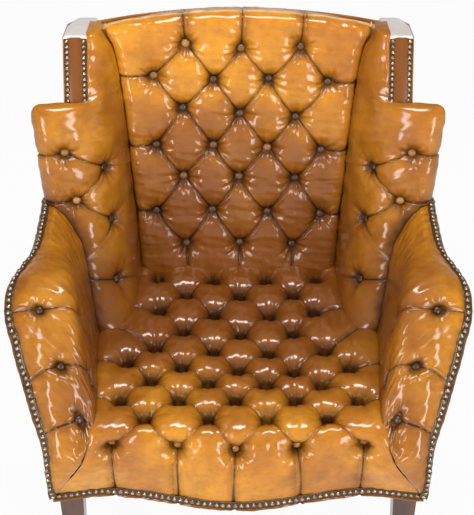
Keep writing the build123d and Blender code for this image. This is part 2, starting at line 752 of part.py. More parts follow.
# Arm pad: four pillows over the arm, cut to the frame that it is stretched over
with BuildPart() as arm_pad_left:
    for number, pillow in enumerate(arm_pillows):
        sections = []
        for place, station in enumerate(pillow):
            at_start = place == 0 and number > 0
            at_end = place == len(pillow) - 1 and number < len(arm_pillows) - 1
            sections.append(arm_section(station, ARM_PLEAT if at_start or at_end else 0.0))
        loft(sections)
    add([front_leg_left.part, front_rail.part, side_rail_left.part, rail_dowels.part], mode=Mode.SUBTRACT)
    add([arm_post_left.part, arm_rail_left.part, arm_stuffing_left.part], mode=Mode.SUBTRACT)
    add([wing_pad_left.part, wing_board_left.part], mode=Mode.SUBTRACT)
    add([dimple(place) for place in arm_button_places + wing_button_places], mode=Mode.SUBTRACT)
arm_pad_right = mirrored(arm_pad_left)
save(arm_pad_left, "arm_pad_left")
save(arm_pad_right, "arm_pad_right")
arm_buttons_left = button_group(arm_button_places)
save(arm_buttons_left, "arm_buttons_left")
save(mirrored(arm_buttons_left), "arm_buttons_right")

# Back pad: plain, with a seat for every button of its diamond rows
_, _, back_places = tufted(back_plane, BACK_ROWS, BACK_PITCH, BACK_ROW, BACK_FIRST_ROW, BACK_CROWN)
with BuildPart() as back_pad:
    with BuildSketch(back_plane.offset(-BACK_STUFFING)):
        with BuildLine():
            arch = ThreePointArc(
                (-BACK_TOP_HALF, BACK_CORNER_LENGTH), (0, BACK_LENGTH), (BACK_TOP_HALF, BACK_CORNER_LENGTH)
            )
            Polyline(
                arch @ 1,
                (BACK_MID_HALF, BACK_MID_LENGTH),
                (BACK_LOW_HALF, -BACK_TUCK),
                (-BACK_LOW_HALF, -BACK_TUCK),
                (-BACK_MID_HALF, BACK_MID_LENGTH),
                arch @ 0,
            )
        make_face()
    extrude(amount=BACK_STUFFING + BACK_CROWN)
    add([wing_pad_left.part, wing_pad_right.part], mode=Mode.SUBTRACT)
    add([dimple(place) for place in back_places], mode=Mode.SUBTRACT)
save(back_pad, "back_pad")
save(button_group(back_places), "back_buttons")

# Crest roll: the padding that carries the leather over the crest rail to the outside back
with BuildPart() as crest_roll:
    with BuildSketch(frame_plane):
        with BuildLine():
            outer = ThreePointArc(
                (-BACK_TOP_HALF, BACK_CORNER_LENGTH), (0, BACK_LENGTH), (BACK_TOP_HALF, BACK_CORNER_LENGTH)
            )
            inner = ThreePointArc(
                (-BACK_TOP_HALF, BACK_CORNER_LENGTH - CREST_DROP),
                (0, BACK_LENGTH - CREST_DROP),
                (BACK_TOP_HALF, BACK_CORNER_LENGTH - CREST_DROP),
            )
            Line(outer @ 0, inner @ 0)
            Line(outer @ 1, inner @ 1)
        make_face()
    extrude(amount=POST_DEPTH)
    add(crest_rail.part, mode=Mode.SUBTRACT)
save(crest_roll, "crest_roll")

# Seat pad: diamond-buttoned top, rolled front edge, and the front face over the serpentine rail
seat_spot, seat_folds, seat_places = tufted(
    seat_plane, SEAT_ROWS, SEAT_PITCH, SEAT_ROW, -SEAT_ROW, SEAT_CROWN
)
SEAT_UP = seat_plane.z_dir
SEAT_BACK = seat_plane.y_dir
SEAT_FRONT_Y = FRONT_CORNER_Y - FRONT_STUFFING / 2
SEAT_REAR = (BACK_Y - SEAT_ROW_Y) / cos(SLOPE_ANGLE)
rear_row = len(SEAT_ROWS) - 1
for column in button_columns(SEAT_ROWS[rear_row]):
    border = seat_spot((rear_row, column))
    rear_end = border + SEAT_BACK * (SEAT_REAR - (rear_row - 1) * SEAT_ROW)
    seat_folds.append(pleat(border, rear_end, SEAT_UP, PLEAT_DEPTH, DIMPLE_RADIUS))
for row, count in enumerate(SEAT_ROWS):
    widest = count >= max(SEAT_ROWS[max(0, row - 1) : row + 2])
    for side in (-1, 1) if widest else ():
        border = seat_spot((row, side * (count - 1)))
        rim = Vector(side * SEAT_HALF, border.Y, border.Z)
        seat_folds.append(pleat(border, rim, SEAT_UP, PLEAT_DEPTH, DIMPLE_RADIUS))
FRONT_OUT = Vector(0, -1, 0)
for column in button_columns(SEAT_ROWS[0]):
    x = column * SEAT_PITCH / 2
    upper = Vector(x, SEAT_FRONT_Y, SEAT_Z)
    lower = Vector(x * FRONT_HALF / SEAT_HALF, front_y(x * FRONT_HALF / SEAT_HALF), LEG_HEIGHT + NAIL_INSET)
    seat_folds.append(pleat(lower, upper, FRONT_OUT, PLEAT_DEPTH / 2, DIMPLE_RADIUS))
with BuildPart() as seat_pad:
    with BuildSketch(Plane.XY.offset(SEAT_BASE_Z)):
        Polygon(
            (-SEAT_HALF, SEAT_FRONT_Y),
            (SEAT_HALF, SEAT_FRONT_Y),
            (SEAT_HALF, SEAT_SHOULDER_Y),
            (SEAT_WAIST_HALF, SEAT_WAIST_Y),
            (SEAT_WAIST_HALF, BACK_Y),
            (-SEAT_WAIST_HALF, BACK_Y),
            (-SEAT_WAIST_HALF, SEAT_WAIST_Y),
            (-SEAT_HALF, SEAT_SHOULDER_Y),
            align=None,
        )
    extrude(amount=2 * SEAT_ROLL)
    with BuildSketch(Plane.YZ) as profile:
        top_front = seat_plane.from_local_coords((0, SEAT_FRONT_Y - SEAT_ROW_Y, SEAT_CROWN))
        top_rear = seat_plane.from_local_coords((0, SEAT_REAR, SEAT_CROWN))
        Polygon(
            (SEAT_FRONT_Y, SEAT_BASE_Z),
            (top_rear.Y, SEAT_BASE_Z),
            (top_rear.Y, top_rear.Z),
            (SEAT_FRONT_Y, top_front.Z),
            align=None,
        )
        fillet(profile.vertices().sort_by(Axis.Y)[-1], SEAT_ROLL)
    extrude(amount=SEAT_HALF, both=True, mode=Mode.INTERSECT)
    with BuildSketch(Plane.XY.offset(LEG_HEIGHT + CLEAR)):
        add(front_strip(0, 2 * FRONT_STUFFING, FRONT_HALF))
    with BuildSketch(Plane.XY.offset(SEAT_Z)):
        add(front_strip(SEAT_FRONT_Y - FRONT_CORNER_Y, 2 * FRONT_STUFFING, SEAT_HALF, FRONT_TOP_BOW))
    loft()
    add([front_rail.part, front_leg_left.part, front_leg_right.part, rail_dowels.part], mode=Mode.SUBTRACT)
    add([arm_pad_left.part, arm_pad_right.part], mode=Mode.SUBTRACT)
    add([wing_pad_left.part, wing_pad_right.part, back_pad.part], mode=Mode.SUBTRACT)
    add(seat_folds, mode=Mode.SUBTRACT)
    add([dimple(place) for place in seat_places], mode=Mode.SUBTRACT)
save(seat_pad, "seat_pad")
save(button_group(seat_places), "seat_buttons")

# Seat webbing under the rails: straps front to back, and straps across below them
WEB_FRONT_Y = STUMP_FRONT_Y + RAIL_THICK
WEB_REAR_Y = RAIL_POST_Y + RAIL_THICK
with BuildPart() as seat_webbing:
    with BuildSketch(Plane.XY.offset(LEG_HEIGHT - WEB_THICK)):
        with Locations((0, (WEB_FRONT_Y + WEB_REAR_Y) / 2)):
            with GridLocations(WEB_PITCH, 0, WEB_LENGTHWISE, 1):
                Rectangle(WEB_WIDTH, WEB_REAR_Y - WEB_FRONT_Y)
    extrude(amount=WEB_THICK)
    with BuildSketch(Plane.XY.offset(LEG_HEIGHT - 2 * WEB_THICK)):
        with Locations((0, SPRING_MIDDLE_Y)):
            with GridLocations(0, WEB_PITCH, 1, WEB_ACROSS):
                Rectangle(2 * SIDE_IN_REAR, WEB_WIDTH)
    extrude(amount=WEB_THICK)
save(seat_webbing, "seat_webbing")

# Waisted coil springs between the webbing and the hessian
SPRING_LOW = LEG_HEIGHT + SPRING_WIRE
SPRING_RISE = SEAT_BASE_Z - HESSIAN - SPRING_WIRE - SPRING_LOW
coil_points = []
for step in range(SPRING_TURNS * SPRING_SIDES + 1):
    rise = step / (SPRING_TURNS * SPRING_SIDES)
    radius = SPRING_WAIST + (SPRING_RADIUS - SPRING_WAIST) * (2 * rise - 1) ** 2
    turn = radians(360 * step / SPRING_SIDES)
    coil_points.append((radius * cos(turn), radius * sin(turn), SPRING_LOW + SPRING_RISE * rise))
with BuildPart() as coil:
    with BuildLine():
        wire = Polyline(*coil_points)
    with BuildSketch(Plane(origin=wire @ 0, z_dir=wire % 0)):
        RegularPolygon(SPRING_WIRE, 4)
    sweep(transition=Transition.RIGHT)
with BuildPart() as seat_springs:
    with Locations((0, SPRING_MIDDLE_Y)):
        with GridLocations(SPRING_PITCH, SPRING_PITCH, 3, 3):
            add(coil.part)
save(seat_springs, "seat_springs")

# Hessian over the springs, under the seat stuffing
with BuildPart() as spring_hessian:
    with BuildSketch(Plane.XY.offset(SEAT_BASE_Z - HESSIAN)):
        Polygon(
            (-SEAT_HALF + COVER_EASE, STUMP_REAR_Y),
            (SEAT_HALF - COVER_EASE, STUMP_REAR_Y),
            (SEAT_HALF - COVER_EASE, SEAT_SHOULDER_Y),
            (SEAT_WAIST_HALF, SEAT_WAIST_Y),
            (SEAT_WAIST_HALF, BACK_Y - BACK_CROWN),
            (-SEAT_WAIST_HALF, BACK_Y - BACK_CROWN),
            (-SEAT_WAIST_HALF, SEAT_WAIST_Y),
            (-SEAT_HALF + COVER_EASE, SEAT_SHOULDER_Y),
            align=None,
        )
    extrude(amount=HESSIAN)
    add([arm_pad_left.part, arm_pad_right.part], mode=Mode.SUBTRACT)
    add([wing_pad_left.part, wing_pad_right.part, back_pad.part], mode=Mode.SUBTRACT)
save(spring_hessian, "spring_hessian")

# Back webbing between the lower back rail and the crest rail, with hessian in front of it
with BuildPart() as back_hessian:
    with BuildSketch(back_plane.offset(-BACK_STUFFING - HESSIAN)):
        with Locations((0, (LOW_RAIL_LENGTH + LOW_RAIL_HEIGHT + CREST_CORNER - CREST_HEIGHT) / 2)):
            Rectangle(2 * POST_IN, CREST_CORNER - CREST_HEIGHT - LOW_RAIL_LENGTH - LOW_RAIL_HEIGHT)
    extrude(amount=HESSIAN)
save(back_hessian, "back_hessian")
with BuildPart() as back_webbing:
    with BuildSketch(back_plane.offset(-BACK_STUFFING - HESSIAN - WEB_THICK)):
        with Locations((0, (LOW_RAIL_LENGTH + LOW_RAIL_HEIGHT + CREST_CORNER - CREST_HEIGHT) / 2)):
            with GridLocations(WEB_PITCH, 0, WEB_LENGTHWISE, 1):
                Rectangle(WEB_WIDTH, CREST_CORNER - CREST_HEIGHT - LOW_RAIL_LENGTH - LOW_RAIL_HEIGHT)
    extrude(amount=WEB_THICK)
    with BuildSketch(back_plane.offset(-BACK_STUFFING - HESSIAN - 2 * WEB_THICK)):
        with Locations((0, (LOW_RAIL_LENGTH + LOW_RAIL_HEIGHT + CREST_CORNER - CREST_HEIGHT) / 2)):
            with GridLocations(0, WEB_PITCH, 1, WEB_ACROSS):
                Rectangle(2 * POST_IN, WEB_WIDTH)
    extrude(amount=WEB_THICK)
save(back_webbing, "back_webbing")

# Outside back: a reclined panel over the frame, and its upright foot over the rear rail
with BuildPart() as outside_back:
    with BuildSketch(back_plane.offset(FRAME_REAR - LEATHER)):
        with BuildLine():
            arch = ThreePointArc((-REAR_HALF, BOARD_TOP), (0, BACK_LENGTH), (REAR_HALF, BOARD_TOP))
            knee = -(BACK_Z - RAIL_TOP) / cos(RECLINE_ANGLE) - FRAME_REAR * tan(RECLINE_ANGLE)
            Polyline(arch @ 1, (REAR_HALF, knee), (-REAR_HALF, knee), arch @ 0)
        make_face()
    extrude(amount=LEATHER)
    with BuildSketch(Plane.XZ.offset(-POST_REAR_Y)):
        with Locations((0, LEG_HEIGHT + RAIL_HEIGHT / 2)):
            Rectangle(2 * REAR_HALF, RAIL_HEIGHT)
    extrude(amount=-LEATHER)
    add([back_post_left.part, back_post_right.part], mode=Mode.SUBTRACT)
save(outside_back, "outside_back")


# Outside arm: a leather panel from the nailed edge down to the rail, back to the rear post
def cover_section(plane, top, foot):
    """Thin section of the outside arm between its top edge and its foot."""
    with BuildSketch(plane) as section:
        Polygon(top, (top[0] - LEATHER, top[1]), (foot[0] - LEATHER, foot[1]), foot, align=None)
    return section.sketch


cover_sections = []
for share in (0.03, 0.2, ARM_PLEATS[0], ARM_PLEATS[1], ARM_PLEATS[2]):
    x, y, z = nail_edge(share)
    cover_sections.append(cover_section(Plane.XZ.offset(-y), (-x, z), (-outer_foot(y), LEG_HEIGHT)))
for x, y in ((KINK_HALF, KINK_Y), (KINK_HALF, ARM_REAR_Y)):
    cover_sections.append(cover_section(Plane.XZ.offset(-y), (-x, ARM_HEIGHT), (-outer_foot(y), LEG_HEIGHT)))
cover_low = (LEG_HEIGHT - BACK_Z) / cos(RECLINE_ANGLE) - FRAME_REAR * tan(RECLINE_ANGLE)
cover_top = (ARM_HEIGHT - BACK_Z) / cos(RECLINE_ANGLE) - FRAME_REAR * tan(RECLINE_ANGLE)
cover_sections.append(
    cover_section(frame_plane, (-BOARD_OUT, cover_top), (-REAR_HALF - COVER_EASE, cover_low))
)
with BuildPart() as outside_arm_left:
    loft(cover_sections, ruled=True)
    add([arm_pad_left.part, seat_pad.part], mode=Mode.SUBTRACT)
save(outside_arm_left, "outside_arm_left")
save(mirrored(outside_arm_left), "outside_arm_right")

# Outside wing: a leather panel over the wing board and the side of the back post
with BuildPart() as outside_wing_left:
    with BuildSketch(board_plane.offset(BOARD_THICK)):
        Polygon(
            (FRAME_REAR, BOARD_FOOT),
            (WING_OUTSIDE, BOARD_FOOT),
            (WING_OUTSIDE, EAR_TOP),
            (BAND_LOW_REACH, EAR_TOP),
            (BAND_TOP_REACH, BOARD_TOP),
            (FRAME_REAR, BOARD_TOP),
            align=None,
        )
    extrude(amount=LEATHER)
    add([outside_arm_left.part, arm_rail_left.part, wing_pad_left.part], mode=Mode.SUBTRACT)
save(outside_wing_left, "outside_wing_left")
save(mirrored(outside_wing_left), "outside_wing_right")

# Dust cover under the webbing, cut back round the legs
with BuildPart() as dust_cover:
    with BuildSketch(Plane.XY.offset(LEG_HEIGHT - 2 * WEB_THICK - DUST_CLOTH)):
        Polygon(
            (-STUMP_IN, STUMP_FRONT_Y),
            (STUMP_IN, STUMP_FRONT_Y),
            (STUMP_OUT, STUMP_REAR_Y),
            (REAR_HALF, RAIL_POST_Y),
            (POST_IN, POST_REAR_Y),
            (-POST_IN, POST_REAR_Y),
            (-REAR_HALF, RAIL_POST_Y),
            (-STUMP_OUT, STUMP_REAR_Y),
            align=None,
        )
    extrude(amount=DUST_CLOTH)
    add([front_leg_left.part, front_leg_right.part], mode=Mode.SUBTRACT)
    add([back_post_left.part, back_post_right.part], mode=Mode.SUBTRACT)
save(dust_cover, "dust_cover")
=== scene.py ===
import math

import bpy
import bmesh
import numpy as np
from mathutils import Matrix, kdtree


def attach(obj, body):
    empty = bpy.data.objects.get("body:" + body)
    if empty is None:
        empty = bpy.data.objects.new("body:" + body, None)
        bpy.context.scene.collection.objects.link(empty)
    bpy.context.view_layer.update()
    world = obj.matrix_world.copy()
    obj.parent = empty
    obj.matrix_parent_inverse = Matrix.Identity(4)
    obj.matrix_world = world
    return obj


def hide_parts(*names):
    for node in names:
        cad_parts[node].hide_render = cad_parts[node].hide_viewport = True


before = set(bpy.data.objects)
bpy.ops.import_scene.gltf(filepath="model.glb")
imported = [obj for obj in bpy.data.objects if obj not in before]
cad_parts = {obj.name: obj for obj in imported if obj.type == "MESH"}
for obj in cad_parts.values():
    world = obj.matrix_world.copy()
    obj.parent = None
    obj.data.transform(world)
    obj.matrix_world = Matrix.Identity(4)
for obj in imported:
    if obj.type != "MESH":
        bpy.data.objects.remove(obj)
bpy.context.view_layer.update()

MM = 0.001
SIDES = (("left", 1.0), ("right", -1.0))

# Back panel frame, in millimetres
RECLINE = math.radians(13.2)
BACK_Y, BACK_Z = 164.5, 417.0
FRAME_REAR = -62.0
BOARD_OUT = 320.0
BOARD_TOP = 514.0
LEG_TOP = 300.0

# Leather, buttons and nails
GRID = 2.3
FAR = 99.0
BACK_SKIN = 25.0
PANEL_THICK = 3.0
BUTTON_RADIUS = 7.9
BUTTON_RISE = 4.2
BUTTON_RINGS = ((1.0, -2.5 / BUTTON_RISE), (1.04, 0.0), (0.94, 0.45), (0.7, 0.82), (0.38, 0.97))
BUTTON_GATHERS, BUTTON_GATHER = 7, 0.025
NAIL_RADIUS = 4.4
NAIL_RISE = 3.7
NAIL_RINGS = ((1.0, -0.25), (1.0, 0.12), (0.8, 0.62), (0.42, 0.93))
NAIL_PITCH, STRIP_NAIL_PITCH = 11.2, 9.2
NAIL_TILT, NAIL_DRIFT = 0.05, 0.18
BAND_WIDTH, STRIP_BAND_WIDTH = 15.0, 12.0
BAND_RISE = 1.1
BAND_SECTION = (
    (-0.5, -1.6), (-0.5, 0.35), (-0.44, 0.9), (-0.2, 1.0), (0.2, 1.0), (0.44, 0.9), (0.5, 0.35), (0.5, -1.6),
)

# Pleats: how far they bow, how soon they run full, how they widen and fade, their lips and gathers
PLEAT_BOW = 0.035
PLEAT_START, PLEAT_END = 70.0, 16.0
PLEAT_WIDTH = 1.9
LIP_AT, LIP_WIDTH, LIP_RISE = 4.6, 2.4, 1.1
GATHER_AT = 13.0
HOLLOW_WIDTH = 33.0
ROUND = 6.28

bpy.ops.object.select_all(action="DESELECT")
rng = np.random.default_rng(73)


# Lines and grids
def knots(table):
    return np.array(table, dtype=float)


def easy_curve(at, values, wanted):
    """Smooth curve through values at given places that never swings past them."""
    at = np.asarray(at, dtype=float)
    values = np.asarray(values, dtype=float)
    wanted = np.clip(np.asarray(wanted, dtype=float), at[0], at[-1])
    flat = values.reshape(len(at), -1)
    step = np.diff(at)[:, None]
    slope = np.diff(flat, axis=0) / step
    pull = np.zeros_like(flat)
    same = slope[:-1] * slope[1:] > 0
    left, right = step[:-1], step[1:]
    first, last = 2 * right + left, right + 2 * left
    with np.errstate(divide="ignore", invalid="ignore"):
        mean = (first + last) / (first / slope[:-1] + last / slope[1:])
    pull[1:-1] = np.where(same, mean, 0.0)
    pull[0], pull[-1] = slope[0], slope[-1]
    span = np.clip(np.searchsorted(at, wanted, side="right") - 1, 0, len(at) - 2)
    width = (at[span + 1] - at[span])[:, None]
    part = ((wanted - at[span]) / (at[span + 1] - at[span]))[:, None]
    lift = part**2 * (3 - 2 * part)
    found = (
        flat[span] * (1 - lift)
        + flat[span + 1] * lift
        + pull[span] * width * part * (1 - part) ** 2
        - pull[span + 1] * width * part**2 * (1 - part)
    )
    return found.reshape((len(wanted),) + values.shape[1:])


def reach(points):
    """Distance run along a row of points."""
    return np.concatenate([[0.0], np.cumsum(np.linalg.norm(np.diff(points, axis=0), axis=1))])


def sampled(points, run, at):
    """Points at given distances along a row of points."""
    return np.stack([np.interp(at, run, points[:, k]) for k in range(3)], axis=1)


def run_across(grid):
    """Distance from the first column along each row of a grid."""
    steps = np.linalg.norm(np.diff(grid, axis=1), axis=2)
    return np.concatenate([np.zeros((len(grid), 1)), np.cumsum(steps, axis=1)], axis=1)


def bell(offset, width):
    """One where there is no offset, falling smoothly to nothing."""
    return np.exp(-((offset / width) ** 2))


def eased(share):
    """A share between nothing and one with a soft start and end."""
    share = np.clip(share, 0, 1)
    return share**2 * (3 - 2 * share)


def unit(vectors):
    """The same directions at length one."""
    return vectors / np.linalg.norm(vectors, axis=-1, keepdims=True)


def flowing(points, count):
    """Evenly spaced points on a round-cornered line through the given points."""
    points = np.asarray(points, dtype=float)
    ends = np.vstack([2 * points[0] - points[1], points, 2 * points[-1] - points[-2]])
    fine = []
    for i in range(len(points) - 1):
        a, b, c, d = ends[i : i + 4]
        s = np.linspace(0, 1, 24, endpoint=i == len(points) - 2)[:, None]
        fine.append(
            0.5 * (2 * b + (c - a) * s + (2 * a - 5 * b + 4 * c - d) * s**2 + (3 * b - a - 3 * c + d) * s**3)
        )
    fine = np.vstack(fine)
    run = reach(fine)
    return sampled(fine, run, np.linspace(0, run[-1], count))


def on_back(x, along, out):
    """Places from distance across, along and out of the reclined back."""
    y = BACK_Y + along * math.sin(RECLINE) - out * math.cos(RECLINE)
    z = BACK_Z + along * math.cos(RECLINE) + out * math.sin(RECLINE)
    return np.stack([x + 0 * y, y, z], axis=-1)


def tucked(limit):
    """Pulls the border of a pad back to a given distance out of the reclined back."""
    ahead = on_back(np.array(0.0), 0.0, 1.0) - on_back(np.array(0.0), 0.0, 0.0)

    def pull(edge):
        out = (edge - (0, BACK_Y, BACK_Z)) @ ahead
        return edge - np.maximum(out - limit, 0)[:, None] * ahead

    return pull


def facing(grid):
    """Unit normals of a grid of points."""
    down = np.gradient(grid, axis=0)
    across = np.gradient(grid, axis=1)
    normal = np.cross(across, down)
    return normal / np.maximum(np.linalg.norm(normal, axis=2, keepdims=True), 1e-6)


def softened(grid, times):
    """The same grid with its unevenness ironed out, ends kept."""
    for _ in range(times):
        inner = (grid[:-2, 1:-1] + grid[2:, 1:-1] + grid[1:-1, :-2] + grid[1:-1, 2:]) / 4
        grid = grid.copy()
        grid[1:-1, 1:-1] = (grid[1:-1, 1:-1] + inner) / 2
    return grid


# Meshes
def placed(name, data):
    """A new object in the scene, at the origin."""
    thing = bpy.data.objects.new(name, data)
    bpy.context.scene.collection.objects.link(thing)
    return thing


def shell(name, grid, marks=None, closed=True, mirror=1.0, behind=None):
    """A smooth leather-covered body from a grid of points, closed behind by way of a deeper ring."""
    rows, columns = grid.shape[:2]
    index = np.arange(rows * columns).reshape(rows, columns)
    faces = np.stack([index[:-1, :-1], index[:-1, 1:], index[1:, 1:], index[1:, :-1]], axis=-1)
    faces = faces.reshape(-1, 4).tolist()
    front = len(faces)
    points = grid.reshape(-1, 3)
    if closed:
        ring = np.concatenate([index[0, :-1], index[:-1, -1], index[-1, :0:-1], index[:0:-1, 0]])
        if behind:
            after = np.arange(len(points), len(points) + len(ring))
            points = np.vstack([points, behind(points[ring])])
            faces += np.stack([np.roll(ring, -1), ring, after, np.roll(after, -1)], axis=1).tolist()
            ring = after
        middle = len(points)
        points = np.vstack([points, points[ring].mean(axis=0)])
        faces += [(b, a, middle) for a, b in zip(ring.tolist(), np.roll(ring, -1).tolist())]
    mesh = bpy.data.meshes.new(name)
    mesh.from_pydata([tuple(place) for place in points * (MM * np.array([mirror, 1, 1]))], [], faces)
    mesh.update()
    for key, values in (marks or {}).items():
        layer = mesh.attributes.new(key, "FLOAT", "POINT")
        flat = np.full(len(points), 9.0 if key != "wear_and_shade" else 0.6, dtype=np.float32)
        flat[: rows * columns] = np.asarray(values, dtype=np.float32).reshape(-1)
        layer.data.foreach_set("value", flat)
    back = mesh.attributes.new("back", "INT", "FACE")
    back.data.foreach_set("value", np.array([0] * front + [1] * (len(faces) - front), dtype=np.int32))
    work = bmesh.new()
    work.from_mesh(mesh)
    bmesh.ops.remove_doubles(work, verts=[v for v in work.verts if v.is_boundary], dist=0.00002)
    bmesh.ops.dissolve_degenerate(work, dist=0.000005, edges=work.edges)
    bmesh.ops.recalc_face_normals(work, faces=work.faces)
    hidden = work.faces.layers.int["back"]
    for face in work.faces:
        face.smooth = True
    for edge in work.edges:
        if len({face[hidden] for face in edge.link_faces}) == 2:
            edge.smooth = False
    work.faces.layers.int.remove(hidden)
    work.to_mesh(mesh)
    work.free()
    return placed(name, mesh)


def loose_set(name, places, faces, mirror=1.0):
    """Many small bodies in one piece, smooth, with their outsides out."""
    mesh = bpy.data.meshes.new(name)
    mesh.from_pydata([tuple(np.asarray(p) * MM * np.array([mirror, 1, 1])) for p in places], [], faces)
    work = bmesh.new()
    work.from_mesh(mesh)
    bmesh.ops.recalc_face_normals(work, faces=work.faces)
    for face in work.faces:
        face.smooth = len(face.verts) < 6
    work.to_mesh(mesh)
    work.free()
    return placed(name, mesh)


def thicken(piece, thick):
    """Gives a sheet its wall, half to each side."""
    bpy.ops.object.select_all(action="DESELECT")
    piece.select_set(True)
    bpy.context.view_layer.objects.active = piece
    wall = piece.modifiers.new("wall", "SOLIDIFY")
    wall.thickness = thick * MM
    wall.offset = 0
    bpy.ops.object.modifier_apply(modifier="wall")
    piece.select_set(False)


def finish(piece, material, slot, *nodes):
    """Gives a piece its finish, parents it to the root and hides the solids that it stands for. The slot is
    not used.
    """
    piece.data.materials.clear()
    piece.data.materials.append(material)
    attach(piece, "root")
    if nodes:
        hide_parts(*nodes)
    return piece


# Buttoning
def nearest(grid, target):
    """Row and column of the grid point nearest to a place."""
    gap = np.linalg.norm(grid - np.asarray(target, dtype=float), axis=2)
    return np.unravel_index(np.argmin(gap), gap.shape)


def buttoned(
    grid, across, along, buttons, runs, puff, spread, sink, pinch=19.0, crease=2.0, shallow=0.5, crimp=1.0,
    seed=0, out=1.0, faint=0.3, basin=0.0, loose=0.17,
):
    """Raises pillows between pleats. Buttons are places; runs join buttons, or a button and a flat place."""
    local = np.random.default_rng(seed)
    blank = np.zeros(grid.shape[:2])
    spots = [nearest(grid, place) for place in buttons]
    flat = [np.array([across[s], along[s]]) for s in spots]
    crowd, fold, deep, lip = blank + 1e-9, blank + FAR, blank + 1.0, blank
    for first, last in runs:
        a = flat[first]
        joined = isinstance(last, int)
        b = flat[last] if joined else np.array(last[:2], dtype=float)
        way = b - a
        size = max(np.hypot(*way), 1e-6)
        part = np.clip(((across - a[0]) * way[0] + (along - a[1]) * way[1]) / size**2, 0, 1)
        bow = local.uniform(-PLEAT_BOW, PLEAT_BOW) * np.sin(np.pi * part)
        off_x = across - a[0] - part * way[0] + bow * way[1]
        off_y = along - a[1] - part * way[1] - bow * way[0]
        gap = np.hypot(off_x, off_y)
        side = (off_x * way[1] - off_y * way[0]) / size
        calm = np.sin(np.pi * part if joined else np.pi / 2 * np.clip(part * size / PLEAT_START, 0, 1))
        fade = 1.0
        if not joined and len(last) == 3:
            gap = gap + PLEAT_END * part**3
            fade = 1 - part**2
        crowd += (gap + 0.4) ** -4
        line = gap + faint * calm**2 if joined else gap
        near = line < fold
        deep = np.where(near, (1 - shallow * calm) * fade, deep)
        lip = np.where(near, bell(side - LIP_AT, LIP_WIDTH) * np.clip(calm * 3, 0, 1), lip)
        fold = np.minimum(fold, line)
    share = np.clip(crowd**-0.25 / spread, 0, 1)
    height = puff * deep * (np.sqrt(1 - (1 - share) ** 2) - 1)
    press, dimple, hollow = blank + FAR, blank, blank
    crinkle, slack = blank.copy(), blank.copy()
    for centre in flat:
        off_x, off_y = across - centre[0], along - centre[1]
        gap = np.hypot(off_x, off_y)
        turn = np.arctan2(off_y, off_x)
        gathers = ((local.integers(6, 9), 0.8), (local.integers(10, 15), 0.6), (local.integers(3, 5), 0.5))
        for count, weight in gathers:
            swing = local.uniform(0, ROUND)
            long = 12 + 9 * np.cos(2 * turn + swing) ** 2
            ridge = np.cos(count * turn + swing + 0.7 * np.sin(turn + swing))
            crinkle += weight * ridge * bell(gap - GATHER_AT, long)
        dimple = np.maximum(dimple, bell(gap, pinch))
        hollow = np.maximum(hollow, bell(gap, HOLLOW_WIDTH))
        press = np.minimum(press, gap)
    for _ in range(12):
        size = local.uniform(16, 70)
        turn = local.uniform(0, ROUND)
        wave = (across * math.cos(turn) + along * math.sin(turn)) * ROUND / size
        slack += np.sin(wave + local.uniform(0, ROUND))
    height = height - sink * dimple - basin * hollow - crease * bell(fold, PLEAT_WIDTH) + LIP_RISE * lip
    height += crimp * crinkle * np.clip((press - 6) / 6, 0, 1) + loose * slack
    seat = np.clip((BUTTON_RADIUS + 3.5 - press) / 3.0, 0, 1)
    height += seat * (-np.broadcast_to(puff, height.shape) - sink - height)
    normal = out * facing(softened(grid, 6))
    shaped = grid + normal * height[:, :, None]
    return shaped, {"fold": fold, "press": press}, [(shaped[s], normal[s]) for s in spots]


def plain_marks(like, wear_and_shade, fold=FAR):
    """Marks of a stretch of leather without buttons, all of one wear-and-shade level."""
    return {"fold": fold + 0 * like, "press": FAR + 0 * like, "wear_and_shade": wear_and_shade + 0 * like}


# Buttons, nails and bands
def modelled_head(turns, rings):
    """Models one round head of unit size: a short cylinder, drawn in ring by ring and poked to a dome."""
    (wide, foot), (rim, level) = rings[:2]
    bpy.ops.object.select_all(action="DESELECT")
    bpy.ops.mesh.primitive_cylinder_add(
        vertices=turns, radius=wide, depth=level - foot, location=(0, 0, (foot + level) / 2),
        rotation=(0, 0, -math.pi / 2),
    )
    bpy.ops.object.transform_apply()
    head = bpy.context.object
    bpy.ops.object.mode_set(mode="EDIT")
    bpy.ops.mesh.select_mode(type="FACE")
    bpy.ops.mesh.select_all(action="DESELECT")
    for face in bmesh.from_edit_mesh(head.data).faces:
        face.select_set(face.normal.z > 0.9)
    bmesh.update_edit_mesh(head.data)
    bpy.ops.transform.resize(value=(rim / wide, rim / wide, 1), center_override=(0, 0, 0))
    for (wide, low), (narrow, high) in zip(rings[1:], rings[2:]):
        bpy.ops.mesh.extrude_region_move(TRANSFORM_OT_translate={"value": (0, 0, high - low)})
        bpy.ops.transform.resize(value=(narrow / wide, narrow / wide, 1), center_override=(0, 0, 0))
    bpy.ops.mesh.poke(offset=1 - rings[-1][1])
    bpy.ops.object.mode_set(mode="OBJECT")
    points = np.array([vertex.co for vertex in head.data.vertices], dtype=float)
    faces = [np.array(face.vertices) for face in head.data.polygons]
    bpy.data.objects.remove(head)
    return points, faces


def head_copies(name, head, seats, guide, radius, rise, mirror):
    """One piece with a copy of a modelled head at each seat, which is a place and a normal."""
    points, faces = head
    places, copies = [], []
    for centre, normal in seats:
        side = unit(np.cross(normal, guide))
        other = np.cross(normal, side)
        copies += [(face + len(places)).tolist() for face in faces]
        places += list(centre + points * (radius, radius, rise) @ np.array([side, other, normal]))
    return loose_set(name, places, copies, mirror)


nail_head = modelled_head(9, NAIL_RINGS)
button_head = modelled_head(14, BUTTON_RINGS)
rim_turn = np.arctan2(button_head[0][:, 1], button_head[0][:, 0])
rim_gather = BUTTON_GATHER * np.cos(BUTTON_GATHERS * rim_turn) * (np.hypot(*button_head[0][:, :2].T) > 0.9)
button_head[0][:, :2] *= 1 + rim_gather[:, None]


